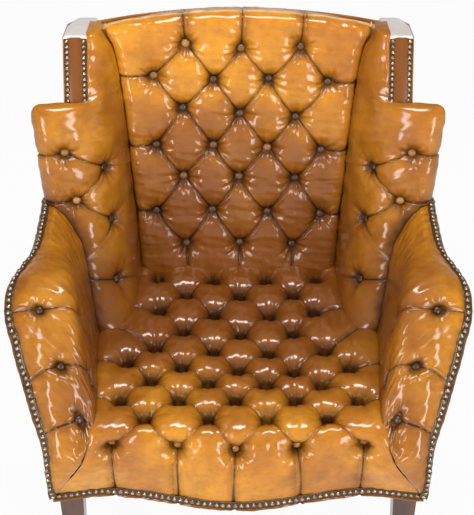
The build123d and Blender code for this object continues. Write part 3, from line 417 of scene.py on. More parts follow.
def button_set(name, seats, mirror=1.0, known=()):
    """Leather-covered buttons with gathered rims, seated in their hollows, each of its own tone, given or
    random.
    """
    button_tones = [dict(known).get(number, min(1.0, rng.beta(5.0, 0.6))) for number in range(len(seats))]
    raised = [(spot + normal * 0.9, normal) for spot, normal in seats]
    piece = head_copies(name, button_head, raised, (0.0, 0.31, 0.95), BUTTON_RADIUS, BUTTON_RISE, mirror)
    shades = np.repeat(button_tones, len(button_head[0])).astype(np.float32)
    piece.data.attributes.new("wear_and_shade", "FLOAT", "POINT").data.foreach_set("value", shades)
    return piece


def nail_row(line, normals, pitch=NAIL_PITCH):
    """Places and normals of close-set nails along a line."""
    run = reach(line)
    count = max(2, int(run[-1] / pitch))
    even = (np.arange(count) + 0.5) * run[-1] / count
    return list(zip(sampled(line, run, even), unit(sampled(normals, run, even))))


def nail_set(name, nails, mirror=1.0):
    """Domed nail heads, slightly uneven in seating as hand-driven nails are."""
    seats = []
    for spot, normal in nails:
        tilt = unit(normal + rng.normal(0, NAIL_TILT, 3))
        seats.append((spot + rng.normal(0, NAIL_DRIFT, 3), tilt))
    return head_copies(name, nail_head, seats, (0.28, 0.53, 0.8), NAIL_RADIUS, NAIL_RISE, mirror)


def ribbon(name, line, normals, width, mirror=1.0):
    """A flat strip laid along a line on a surface, with rounded edges and closed ends."""
    across = unit(np.cross(unit(np.gradient(line, axis=0)), normals))
    places = [
        spot + side * (u * width) + up * (v * BAND_RISE)
        for spot, side, up in zip(line, across, normals) for u, v in BAND_SECTION
    ]
    index = np.arange(len(places)).reshape(len(line), -1)
    after = np.roll(index, -1, axis=1)
    faces = np.stack([index[:-1], after[:-1], after[1:], index[1:]], axis=-1).reshape(-1, 4).tolist()
    return loose_set(name, places, faces + [index[0, ::-1].tolist(), index[-1].tolist()], mirror)


# Finishes
def new_tree(name):
    """An empty material and its node tree."""
    material = bpy.data.materials.new(name)
    material.use_nodes = True
    material.node_tree.nodes.clear()
    return material, material.node_tree


def feed(tree, socket, value):
    """Links a node's output to a socket, or sets the socket's own value."""
    if isinstance(value, bpy.types.NodeSocket):
        tree.links.new(value, socket)
    elif value is not None:
        socket.default_value = value


def put(tree, kind, feeds=None, **settings):
    """Adds a node, sets it, and feeds its sockets with values or other nodes' outputs."""
    node = tree.nodes.new(kind)
    for key, value in settings.items():
        setattr(node, key, value)
    for key, value in (feeds or {}).items():
        feed(tree, node.inputs[key], value)
    return node


def mixed(tree, factor, first, second):
    """Mixes two colours."""
    feeds = {0: factor, 6: first, 7: second}
    return put(tree, "ShaderNodeMix", feeds, data_type="RGBA").outputs[2]


def maths(tree, way, first, second=0.5, third=None, clamp=False):
    """Works out a value from up to three others."""
    feeds = {0: first, 1: second, 2: third}
    return put(tree, "ShaderNodeMath", feeds, operation=way, use_clamp=clamp).outputs[0]


def ramp(tree, value, low, high, bottom=0.0, top=1.0):
    """Maps a range of values smoothly to another."""
    feeds = {"Value": value, "From Min": low, "From Max": high, "To Min": bottom, "To Max": top}
    return put(tree, "ShaderNodeMapRange", feeds, interpolation_type="SMOOTHSTEP").outputs["Result"]


def noise(tree, place, scale, detail, output="Fac", kind="FBM", **feeds):
    """Random cloudiness at a given scale."""
    feeds.update({"Vector": place, "Scale": scale, "Detail": detail})
    return put(tree, "ShaderNodeTexNoise", feeds, noise_type=kind).outputs[output]


def here(tree):
    """The place on the piece."""
    return put(tree, "ShaderNodeTexCoord").outputs["Object"]


def stretched(tree, place, scale):
    """A place with each direction at its own scale."""
    return put(tree, "ShaderNodeMapping", {"Vector": place, "Scale": scale}).outputs["Vector"]


def mark(tree, name):
    """One of the marks that a piece's points carry."""
    return put(tree, "ShaderNodeAttribute", attribute_name=name).outputs["Fac"]


def new_group(name, inputs, outputs):
    """An empty node group with named value sockets."""
    group = bpy.data.node_groups.new(name, "ShaderNodeTree")
    for key, value in inputs.items():
        group.interface.new_socket(key, in_out="INPUT", socket_type="NodeSocketFloat").default_value = value
    for key in outputs:
        group.interface.new_socket(key, in_out="OUTPUT", socket_type="NodeSocketFloat")
    return group, group.nodes.new("NodeGroupInput").outputs, group.nodes.new("NodeGroupOutput").inputs


def surfaced(tree, colour, rough, bump=None, **feeds):
    """Ends a material with its surface. A bump is its height, strength and depth."""
    feeds = {key.replace("_", " "): value for key, value in feeds.items()}
    feeds.update({"Base Color": colour, "Roughness": rough})
    if bump:
        relief = dict(zip(("Height", "Strength", "Distance"), bump))
        feeds["Normal"] = put(tree, "ShaderNodeBump", relief).outputs["Normal"]
    shader = put(tree, "ShaderNodeBsdfPrincipled", feeds)
    put(tree, "ShaderNodeOutputMaterial", {"Surface": shader.outputs["BSDF"]})


def make_hide_grain():
    """Pores, fine creases and drawn streaks of tanned hide."""
    group, start, end = new_group("hide_grain", {"Scale": 1.0}, ("Height", "Mottle", "Cloud", "Drawn"))
    wide = put(group, "ShaderNodeVectorMath", {0: here(group)}, operation="SCALE")
    feed(group, wide.inputs["Scale"], start["Scale"])
    spot = wide.outputs["Vector"]
    swirl = mixed(group, 0.06, spot, noise(group, spot, 70.0, 3.0, "Color"))
    pores = put(group, "ShaderNodeTexVoronoi", {"Vector": swirl, "Scale": 620.0}, feature="DISTANCE_TO_EDGE")
    cells = ramp(group, pores.outputs["Distance"], 0.0, 0.22)
    lines = noise(group, spot, 110.0, 6.0, kind="RIDGED_MULTIFRACTAL", Roughness=0.62)
    height = maths(group, "MULTIPLY_ADD", ramp(group, lines, 0.55, 1.3), -0.55, cells)
    drawn = noise(group, stretched(group, spot, (46.0, 120.0, 120.0)), 1.0, 4.0, Roughness=0.6)
    feed(group, end["Height"], maths(group, "MULTIPLY_ADD", drawn, 4.5, height))
    feed(group, end["Mottle"], noise(group, spot, 34.0, 7.0, Roughness=0.65))
    feed(group, end["Cloud"], noise(group, spot, 7.0, 4.0, Roughness=0.55))
    feed(group, end["Drawn"], drawn)
    return group


def make_stain_and_shade():
    """Darkening along pleats and round buttons: partly wax and dust settled in the folds, partly painted
    shade in the creases and button hollows.
    """
    group, start, end = new_group("stain_and_shade_group", {"Fold": FAR, "Press": FAR, "Mottle": 0.5}, ("Line", "Shade"))
    fold, press, mottle = start["Fold"], start["Press"], start["Mottle"]
    # dark crease lines: partly dirt in the folds, partly painted shade
    line = ramp(group, fold, 0.5, 2.5, 1.0, 0.0)
    # painted shade beside pleats and round the button hollows
    halo = maths(group, "MULTIPLY", ramp(group, fold, 0.0, 15.0, 1.0, 0.0), 0.42)
    hollow = maths(group, "MULTIPLY", ramp(group, press, 6.0, 27.0, 1.0, 0.0), 0.95)
    both = maths(group, "ADD", halo, hollow)
    feed(group, end["Line"], maths(group, "MULTIPLY", line, ramp(group, mottle, 0.25, 0.6, 0.55, 0.95)))
    patchy = maths(group, "MULTIPLY", both, ramp(group, mottle, 0.2, 0.75, 0.4, 1.1), clamp=True)
    feed(group, end["Shade"], patchy)
    return group


grain = make_hide_grain()
stain_and_shade = make_stain_and_shade()


def coated(tree, colour, rough, height, bump_by, coat):
    """Waxed leather surface from its colour, roughness and grain height."""
    bump = (height, bump_by, 0.0006)
    surfaced(tree, colour, rough, bump, Specular_IOR_Level=0.1, Coat_Weight=coat, Coat_Roughness=0.16)


def make_hide(name, gold, tan, brown, dark, highlight_colour):
    """Glossy antiqued hide, golden in places and browner where its wear-and-shade mark is high, with painted
    shade in its folds and button hollows and a painted highlight over the crest.
    """
    material, tree = new_tree(name)
    skin = put(tree, "ShaderNodeGroup", {"Scale": 1.0}, node_tree=grain).outputs
    feeds = {"Fold": mark(tree, "fold"), "Press": mark(tree, "press"), "Mottle": skin["Mottle"]}
    marks = put(tree, "ShaderNodeGroup", feeds, node_tree=stain_and_shade).outputs
    patches = ramp(tree, skin["Cloud"], 0.32, 0.68)
    colour = mixed(tree, maths(tree, "MULTIPLY", patches, 0.7), gold, tan)
    # wear-and-shade mark: wear, and painted shade towards the seat's rear
    worn_or_shaded = maths(tree, "MULTIPLY_ADD", patches, 0.25, mark(tree, "wear_and_shade"), clamp=True)
    colour = mixed(tree, ramp(tree, worn_or_shaded, 0.05, 1.1), colour, brown)
    colour = mixed(tree, ramp(tree, skin["Mottle"], 0.4, 0.72, 0.0, 0.35), colour, brown)
    colour = mixed(tree, ramp(tree, skin["Drawn"], 0.42, 0.72, 0.0, 0.22), colour, brown)
    # painted highlight: the crest turned pale
    highlight_share = maths(tree, "MULTIPLY", mark(tree, "crest_highlight"), ramp(tree, skin["Mottle"], 0.3, 0.6, 1.0, 0.6))
    colour = mixed(tree, highlight_share, colour, highlight_colour)
    # painted shade: hollows and the sides of pleats turned towards the dark colour
    colour = mixed(tree, maths(tree, "MULTIPLY", marks["Shade"], 0.85), colour, dark)
    # dark crease lines, partly painted shade in the folds
    colour = mixed(tree, marks["Line"], colour, (0.012, 0.005, 0.002, 1))
    rough = maths(tree, "MULTIPLY_ADD", skin["Mottle"], 0.2, 0.22)
    rough = maths(tree, "MULTIPLY_ADD", marks["Line"], 0.35, rough, clamp=True)
    coat = maths(tree, "MULTIPLY_ADD", marks["Shade"], -0.75, 0.82, clamp=True)
    coated(tree, colour, rough, skin["Height"], 0.28, coat)
    return material


def make_trim_hide(name, light, dark):
    """Small leather pieces: each one between two tones by its wear-and-shade mark."""
    material, tree = new_tree(name)
    skin = put(tree, "ShaderNodeGroup", {"Scale": 1.0}, node_tree=grain).outputs
    colour = mixed(tree, mark(tree, "wear_and_shade"), light, dark)
    colour = mixed(tree, ramp(tree, skin["Mottle"], 0.4, 0.7, 0.0, 0.5), colour, dark)
    rough = maths(tree, "MULTIPLY_ADD", skin["Mottle"], 0.2, 0.24)
    coated(tree, colour, rough, skin["Height"], 0.2, 0.5)
    return material


def make_metal(name, scale, detail, dark, bright, rough, patches=None):
    """Metal that is dull in places and polished bright in others."""
    material, tree = new_tree(name)
    tarnish = noise(tree, here(tree), scale, detail)
    tone = ramp(tree, tarnish, *patches) if patches else tarnish
    surfaced(tree, mixed(tree, tone, dark, bright), ramp(tree, tarnish, 0.2, 0.8, *rough), Metallic=1.0)
    return material


def make_wood(name, light, dark, rough, coat):
    """Straight-grained wood with pores along the grain."""
    material, tree = new_tree(name)
    along = stretched(tree, here(tree), (1.0, 1.0, 0.09))
    pores = noise(tree, along, 160.0, 3.0)
    rings = noise(tree, along, 14.0, 5.0, Distortion=0.8)
    colour = mixed(tree, ramp(tree, rings, 0.3, 0.7), dark, light)
    colour = mixed(tree, ramp(tree, pores, 0.55, 0.75, 0.0, 0.6), colour, dark)
    gloss = maths(tree, "MULTIPLY_ADD", pores, 0.15, rough)
    surfaced(tree, colour, gloss, (pores, 0.15, 0.0004), Coat_Weight=coat, Coat_Roughness=0.2)
    return material


def make_weave(name, light, dark, count):
    """Plain woven cloth: crossing threads that rise and dip in turn."""
    material, tree = new_tree(name)
    place = here(tree)
    parts = put(tree, "ShaderNodeSeparateXYZ", {"Vector": place}).outputs
    along = maths(tree, "ADD", parts["Y"], parts["Z"])
    warp = maths(tree, "SINE", maths(tree, "MULTIPLY", parts["X"], count))
    weft = maths(tree, "SINE", maths(tree, "MULTIPLY", along, count))
    fibre = noise(tree, place, 420.0, 4.0)
    tone = maths(tree, "MULTIPLY_ADD", maths(tree, "MULTIPLY", warp, weft), 0.25, fibre)
    colour = mixed(tree, ramp(tree, tone, 0.2, 0.9), dark, light)
    surfaced(tree, colour, ramp(tree, tone, 0.0, 1.0, 0.95, 0.8), (tone, 0.6, 0.0006))
    return material


# the fourth colour is the painted shade of hollows and pleats, the fifth the painted highlight over the crest
hide = make_hide(
    "antiqued_hide", (0.60, 0.245, 0.011, 1), (0.43, 0.132, 0.007, 1), (0.165, 0.048, 0.005, 1),
    (0.04, 0.012, 0.004, 1), (0.86, 0.62, 0.36, 1),
)
# pale leather for the wing tops: a painted highlight on their top faces
painted_highlight_hide = make_hide(
    "painted_highlight_hide", (0.74, 0.68, 0.65, 1), (0.68, 0.61, 0.58, 1), (0.55, 0.47, 0.42, 1),
    (0.2, 0.14, 0.1, 1), (0.9, 0.86, 0.84, 1),
)
button_hide = make_trim_hide("button_hide", (0.46, 0.22, 0.06, 1), (0.055, 0.027, 0.014, 1))
band_hide = make_trim_hide("band_hide", (0.06, 0.03, 0.014, 1), (0.035, 0.016, 0.008, 1))
brass = make_metal(
    "antique_brass", 260.0, 5.0, (0.19, 0.135, 0.08, 1), (0.56, 0.45, 0.30, 1), (0.48, 0.3), (0.35, 0.7)
)
wire = make_metal("drawn_wire", 300.0, 4.0, (0.2, 0.19, 0.18, 1), (0.5, 0.49, 0.47, 1), (0.28, 0.5))
mahogany = make_wood("polished_mahogany", (0.115, 0.036, 0.014, 1), (0.032, 0.01, 0.005, 1), 0.24, 0.4)
beech = make_wood("sawn_beech", (0.56, 0.36, 0.19, 1), (0.38, 0.22, 0.11, 1), 0.6, 0.0)
jute = make_weave("jute_webbing_weave", (0.5, 0.38, 0.22, 1), (0.24, 0.16, 0.08, 1), 2600.0)
sacking = make_weave("hessian_weave", (0.46, 0.34, 0.18, 1), (0.2, 0.13, 0.06, 1), 3600.0)
cambric = make_weave("black_cambric", (0.035, 0.035, 0.037, 1), (0.008, 0.008, 0.009, 1), 5200.0)


# Back: measured button places on the reclined panel, across and along
BACK_BUTTONS = (
    ((-105, 69), (3, 70), (109, 66)),
    ((-164, 142), (-53, 144), (58, 140), (165, 136)),
    ((-108, 219), (1, 219), (111, 215)),
    ((-160, 286), (-49, 286), (56, 281), (161, 274)),
    ((-107, 363), (2, 351), (110, 344)),
    ((-161, 429), (-47, 421), (57, 422), (171, 416)),
    ((-100, 492), (6, 483), (117, 485)),
)
BACK_FRESH = ((21, 0.05), (17, 0.6), (22, 0.75), (7, 0.7))
BACK_LOW = -30.0
BACK_ROLL = 20.0
BACK_TOP, BACK_ARCH, BACK_WIDEST = 528.0, 28.0, 258.0
BACK_EDGE, BACK_EDGE_DIP = 22.0, 17.0
CREST_TOP, CREST_ARCH, CREST_TUCK, CREST_DEEP = 508.5, 32.0, 12.0, 64.0
SEAM_PULL, SEAM_PULL_REACH = 0.3, 70.0


def back_half(along):
    """Half width of the back pad by height along the back."""
    heights = (-40, 48, 161, 248, 343, 424, 484, 520, 560)
    return easy_curve(heights, (198, 200, 206, 212, 218, 226, 235, 250, 258), along)


def diamonds(rows):
    """Pairs of neighbouring buttons in rows that lie one above the other."""
    numbered, count = [], 0
    for row in rows:
        numbered.append([(count + i, place[0]) for i, place in enumerate(row)])
        count += len(row)
    pairs = []
    for lower, upper in zip(numbered, numbered[1:]):
        for i, x in lower:
            pairs += [(i, j) for j, other in upper if abs(other - x) < 80]
    return pairs, numbered


def make_back():
    """Buttoned inside back, rolled over the crest and tucked down behind it."""
    columns = np.linspace(-1, 1, int(2 * BACK_WIDEST / GRID))
    top = BACK_TOP + BACK_ARCH * (1 - columns**2)
    face = np.linspace(0, 1, int(560 / GRID))[:, None]
    bend = np.linspace(0, math.pi / 2, 16)[1:, None]
    deep = np.linspace(0, 1, 22)[1:, None]
    tail = np.linspace(0.2, 1, 5)[:, None]
    front, rear = BACK_SKIN - BACK_ROLL, FRAME_REAR - 1
    drop = top - (CREST_TOP + CREST_ARCH * (1 - columns**2))
    face_run = BACK_LOW + face * (top - BACK_ROLL - BACK_LOW)
    along = np.vstack([
        face_run, top - BACK_ROLL + BACK_ROLL * np.sin(bend), top - drop * np.minimum(1, 2 * deep),
        top - drop - CREST_TUCK * tail,
    ])
    out = np.vstack([
        np.full_like(face_run, BACK_SKIN), front + BACK_ROLL * np.cos(bend) + 0 * top,
        front + (rear - BACK_SKIN + BACK_ROLL) * deep + 0 * top, rear - 1.5 * tail + 0 * top,
    ])
    run = np.vstack([
        face_run, top - BACK_ROLL + BACK_ROLL * bend, top + CREST_TUCK + CREST_DEEP * deep,
        top + CREST_TUCK + CREST_DEEP + CREST_TUCK * tail,
    ])
    half = back_half(along.reshape(-1)).reshape(along.shape)
    x = columns * half
    inset = half * (1 - np.abs(columns))
    edge = np.clip(inset / BACK_EDGE, 0, 1)
    dip = BACK_EDGE_DIP * (1 - np.sqrt(1 - (1 - edge) ** 2))
    drawn = np.clip(1 - inset / SEAM_PULL_REACH, 0, 1) * np.clip((top - 60 - run) / 60, 0, 1)
    ripple = np.sin(run / 1.45 + 2.5 * np.sin(run / 23)) * (0.5 + 0.5 * np.sin(run / 29 + columns))
    drawn = SEAM_PULL * drawn * ripple
    grid = on_back(x, along - 0.35 * dip * (run > top), np.where(run > top, out, out - dip + drawn))
    pairs, rows = diamonds(BACK_BUTTONS)
    flat = [place for row in BACK_BUTTONS for place in row]
    pairs += [(i, (px * 1.02, 640.0)) for i, px in rows[-1]]
    pairs += [(i, (px * 0.98, -60.0)) for i, px in rows[0]]
    for row in rows[1::2]:
        pairs += [(i, (math.copysign(270, px), flat[i][1] + 3)) for i, px in (row[0], row[-1])]
    fall = np.clip((run - top + 30) / 60, 0, 1)
    shaped, marks, seats = buttoned(
        grid, x, run, [on_back(np.array(px), t, BACK_SKIN) for px, t in flat], pairs,
        10.0 - 6.0 * fall, 27.0, 10.0, pinch=16.0, crease=2.4, shallow=0.55, crimp=1.6, seed=5, basin=5.0,
    )
    # darker towards the bottom
    marks["wear_and_shade"] = np.clip(1.12 - 1.05 * along / 520, 0.05, 1)
    strip = np.min([np.abs(x - px * 1.02 - 8.0) for _, px in rows[-1]], axis=0)
    marks["fold"] = np.minimum(marks["fold"], np.where(run > 508, strip + 1.0, FAR))
    # painted highlight: pale over the top of the crest and down behind it
    marks["crest_highlight"] = np.clip((run - top - 2) / 6, 0, 1) * (0.2 + 0.8 * bell(run - top - 14, 36))
    piece = shell("back_pad_cover", shaped, marks, behind=tucked(-24.0))
    finish(piece, hide, "tan_leather", "back_pad", "crest_roll")
    buttons = button_set("back_button_set", seats, known=BACK_FRESH)
    finish(buttons, button_hide, "button_leather", "back_buttons")


# Seat: measured button places from the front row back, across and depth
SEAT_BUTTONS = (
    ((-224, -331), (-112, -331), (-5, -331), (109, -331), (222, -331)),
    ((-169, -268), (-53, -268), (52, -268), (161, -268)),
    ((-216, -220), (-109, -220), (-6, -220), (105, -220), (220, -220)),
    ((-163, -170), (-55, -176), (51, -180), (155, -182)),
    ((-208, -122), (-106, -133), (1, -143), (104, -146), (208, -136)),
    ((-158, -79), (-48, -89), (58, -95), (164, -89)),
    ((-106, -34), (5, -42), (107, -37)),
    ((-156, 29), (-48, 15), (60, 13), (150, 24)),
    ((-103, 78), (3, 73), (111, 76)),
    ((-162, 128), (-50, 122), (57, 122), (160, 126)),
)
SEAT_FRESH = ((0, 0.4), (1, 0.0), (2, 0.0), (3, 0.0), (4, 0.5))
SEAT_TOP = 465.0
SEAT_BEND_Y = -258.0
SEAT_HEM = ((-0.5, 301.0), (-4.0, 300.4), (-6.4, 298.4), (-6.4, 296.0), (-4.0, 294.2), (0.0, 293.8))
SEAT_FOLD_START = 372.0
SEAT_SLOPE = math.tan(math.radians(3))
SEAT_REAR, SEAT_FOOT = 168.0, 340.0
FRONT_BUTTON_LEVEL = 424.0


def front_line(x):
    """Depth of the bowed and hollowed front edge."""
    return -351 + 34 * eased(np.abs(x) / 245) - 12 * eased((np.abs(x) - 245) / 95)


def seat_top(y):
    """Level of the seat, which falls towards the back."""
    return SEAT_TOP - (y + 272) * SEAT_SLOPE


def bowed(s, first, second, third, last):
    """A curve from first to last, drawn towards second and third."""
    return (1 - s) ** 3 * first + 3 * (1 - s) ** 2 * s * second + 3 * (1 - s) * s**2 * third + s**3 * last


def make_seat():
    """Buttoned seat, rolled over the front and hemmed under the nailed band."""
    columns = np.linspace(-1, 1, int(2 * 300 / GRID))
    y = np.linspace(SEAT_REAR, SEAT_BEND_Y, int(426 / GRID))[:, None]
    half = easy_curve((-262, -70, -34, 28, 90, 170), (268, 268, 262, 216, 206, 201), y[:, 0])[:, None] + 4
    x_top = columns * half
    roll = np.clip(half * (1 - np.abs(columns)) / 30, 0, 1)
    z_top = seat_top(y) - 15 * (1 - np.sqrt(1 - (1 - roll) ** 2))
    top = np.stack([x_top, y + 0 * columns, z_top], axis=-1)
    s = np.linspace(0, 1, int(215 / GRID))[1:, None]
    foot = front_line(columns * SEAT_FOOT)
    py = bowed(s, SEAT_BEND_Y, -316.0, -346.0 * 0.5 + foot * 0.5 - 4, foot)
    pz = bowed(s, z_top[-1], z_top[-1] + 3, 437, LEG_TOP + 2.0)
    wide = easy_curve((LEG_TOP, 308, 420, 436, 480), (341, 337, 272, 270, 272), pz.reshape(-1))
    wide = wide.reshape(pz.shape)
    for out, level in SEAT_HEM:
        py = np.vstack([py, foot + out])
        pz = np.vstack([pz, level + 0 * foot])
        wide = np.vstack([wide, wide[-1:]])
    grid = np.vstack([top, np.stack([columns * wide, py, pz], axis=-1)])
    length = reach(grid[:, len(columns) // 2]) - SEAT_REAR
    along = length[:, None] + 0 * columns
    across = np.vstack([x_top, columns * wide])
    places = [
        (px, depth, seat_top(depth) if row else FRONT_BUTTON_LEVEL)
        for row, line in enumerate(SEAT_BUTTONS) for px, depth in line
    ]
    pairs, rows = diamonds(SEAT_BUTTONS)
    pairs += [(i, (px, length[-1] + 40)) for i, px in rows[0]]
    pairs += [(i, (px * 0.98, -230.0)) for i, px in rows[-1]]
    for r, drift, end in ((2, 2, 300), (4, 2, 300), (5, -48, 240), (7, -8, 300)):
        for i, px in (rows[r][0], rows[r][-1]):
            pairs.append((i, (math.copysign(end, px), drift - SEAT_BUTTONS[r][0][1])))
    fall = np.clip((along - 312) / 60, 0, 1)
    shaped, marks, seats = buttoned(
        grid, across, along, places, pairs, 25.0 - 14.0 * fall, 40.0 - 8 * fall, 17.0, pinch=21.0, crease=2.2,
        shallow=0.7, crimp=1.2, seed=9, out=-1.0, faint=1.5,
    )
    # darker towards the rear, partly painted shade where the back and wings shade the seat
    marks["wear_and_shade"] = np.clip(0.2 + (grid[:, :, 1] + 345) / 480, 0, 1)
    marks["wear_and_shade"][-len(SEAT_HEM):] = 0.9
    strip = np.min([np.abs(across - px + 6.5) for _, px in rows[0]], axis=0)
    marks["fold"] = np.minimum(marks["fold"], np.where(along > SEAT_FOLD_START, strip + 1.1, FAR))
    piece = shell("seat_pad_cover", shaped, marks, behind=lambda edge: np.minimum(edge, (999, 999, 406)))
    finish(piece, hide, "tan_leather", "seat_pad")
    buttons = button_set("seat_button_set", seats, known=SEAT_FRESH)
    finish(buttons, button_hide, "button_leather", "seat_buttons")


# Arms: nailed edge from the front corner up the scroll and back to the wing, and the foot on the seat
ARM_EDGE = knots((
    (-341, -329, 308), (-343, -322, 362), (-344, -312, 404),
    (-350, -297, 439), (-360, -280, 468), (-368, -262, 498),
    (-377, -242, 526), (-386, -223, 551), (-395, -200, 580),
    (-403, -179, 604), (-406, -163, 619), (-406, -147, 630),
    (-401, -111, 640), (-388, -73, 640), (-371, -13, 640), (-369, 44, 640), (-369, 128, 640),
))
ARM_FOOT = knots((
    (-336, -332, 307), (-306, -336, 361), (-281, -336, 404),
    (-270, -325, 430), (-266, -305, 436), (-266, -283, 436),
    (-266, -258, 436), (-266, -234, 436), (-266, -208, 436),
    (-266, -183, 436), (-266, -165, 436), (-266, -148, 436),
    (-266, -112, 436), (-266, -73, 436), (-266, -13, 434), (-266, 44, 430), (-266, 128, 424),
))
ARM_BUTTONS = (
    (-353, -172, 628), (-315, -224, 540), (-288, -274, 454), (-283, -158, 590), (-262, -225, 512),
)
# arm buttons all at the darkest tone: painted shade for buttons sunk in shadowed hollows
ARM_SHADED = [(number, 1.0) for number in range(len(ARM_BUTTONS))]
ARM_INSIDE = ((-312, -258, -208, -160, -110, -30, 128), (4, 9, 7, -1, -7, -18, -20))
ARM_SHARES = knots((0, 0.03, 0.1, 0.2, 0.36, 0.52, 0.68, 0.82, 0.93, 1.0))[:, None]
ARM_SWELL = knots((0, 0.1, 0.45, 0.75, 1.0, 1.0, 0.85, 0.55, 0.25, 0))[:, None]
ARM_BAND_AT = 11.5


def arm_sections():
    """Sections of the left arm from its outer edge over the top and down to the seat."""
    rows = []
    for i, (edge, foot) in enumerate(zip(ARM_EDGE, ARM_FOOT)):
        rise = eased((i - 1.2) / 4.0)
        lip = edge + np.array([-9.0 + 2.5 * (1 - rise), -2.0 * (1 - rise), -3.5])
        tall = edge[2] - foot[2]
        slim = np.clip((edge[1] + 120) / 150, 0, 1)
        inside = np.interp(edge[1], *ARM_INSIDE)
        upper = [
            lip,
            edge + (-3.5, 0, 1.0),
            edge + (6, 0, 6.0 - 2.0 * slim),
            edge + (20, 0, 16.0 - 10.0 * slim),
            np.array([(edge[0] * 0.55 - 285 * 0.45) - 8 * slim, edge[1], edge[2] + 25 - 27 * slim]),
            np.array([-297 + inside, edge[1], edge[2] + 17 - 46 * slim]),
            np.array([-276 + inside, edge[1] - 1, foot[2] + tall * (0.78 - 0.16 * slim) + 6]),
            np.array([-264 + inside, foot[1], foot[2] + tall * (0.42 - 0.08 * slim)]),
            np.array([-262 + 0.6 * inside, foot[1], foot[2] + tall * 0.12]),
            foot,
        ]
        lower = lip + (foot - lip) * ARM_SHARES
        lower = lower + ARM_SWELL * np.array([0, -13.0, 6.0]) * min(1.0, 0.3 + 0.5 * i)
        rows.append(flowing(lower * (1 - rise) + np.array(upper) * rise, 92))
    return np.array(rows)


def make_arms():
    """Both arm pads. Gives the line under the nails with its normals, the outer rim, and all the points."""
    chord = reach(ARM_EDGE)
    fine = np.linspace(0, chord[-1], int(chord[-1] / GRID))
    grid = easy_curve(chord, arm_sections(), fine)
    across = run_across(grid)
    along = fine[:, None] + 0 * across
    pairs = [
        (0, (0.0, chord[10] - 5)), (1, (0.0, chord[7] - 44)), (2, (0.0, chord[4] - 36)), (0, 3), (1, 4),
        (2, (215.0, chord[5] - 6, 0)), (3, (330.0, chord[11] - 20)), (4, (300.0, chord[8] - 10)),
    ]
    calm = np.clip((across - 17) / 14, 0, 1)
    low = bell(along - chord[4], 40)
    shaped, marks, seats = buttoned(
        grid, across, along, ARM_BUTTONS, pairs, (9.0 - 5.0 * low) * calm, 32.0, 9.0 - 5.0 * low, pinch=15.0,
        crease=2.0 * calm, shallow=0.86, seed=21, faint=0.7, loose=0.2,
    )
    normal = facing(softened(grid, 4))
    marks["wear_and_shade"] = np.where(across < 6, 1.0, np.clip(across / 380 + 0.28, 0, 1))
    marks["fold"] = np.minimum(marks["fold"], np.abs(across - 18.5) + 1.2)
    for side, mirror in SIDES:
        piece = shell(f"arm_pad_cover_{side}", shaped, marks, mirror=mirror)
        finish(piece, hide, "tan_leather", f"arm_pad_{side}")
        buttons = button_set(f"arm_button_set_{side}", seats, mirror, ARM_SHADED)
        finish(buttons, button_hide, "button_leather", f"arm_buttons_{side}")
    rows = np.arange(len(grid))
    strip = np.argmin(np.abs(across - ARM_BAND_AT), axis=1)
    return shaped[rows, strip], normal[rows, strip], shaped[:, 0], shaped.reshape(-1, 3)


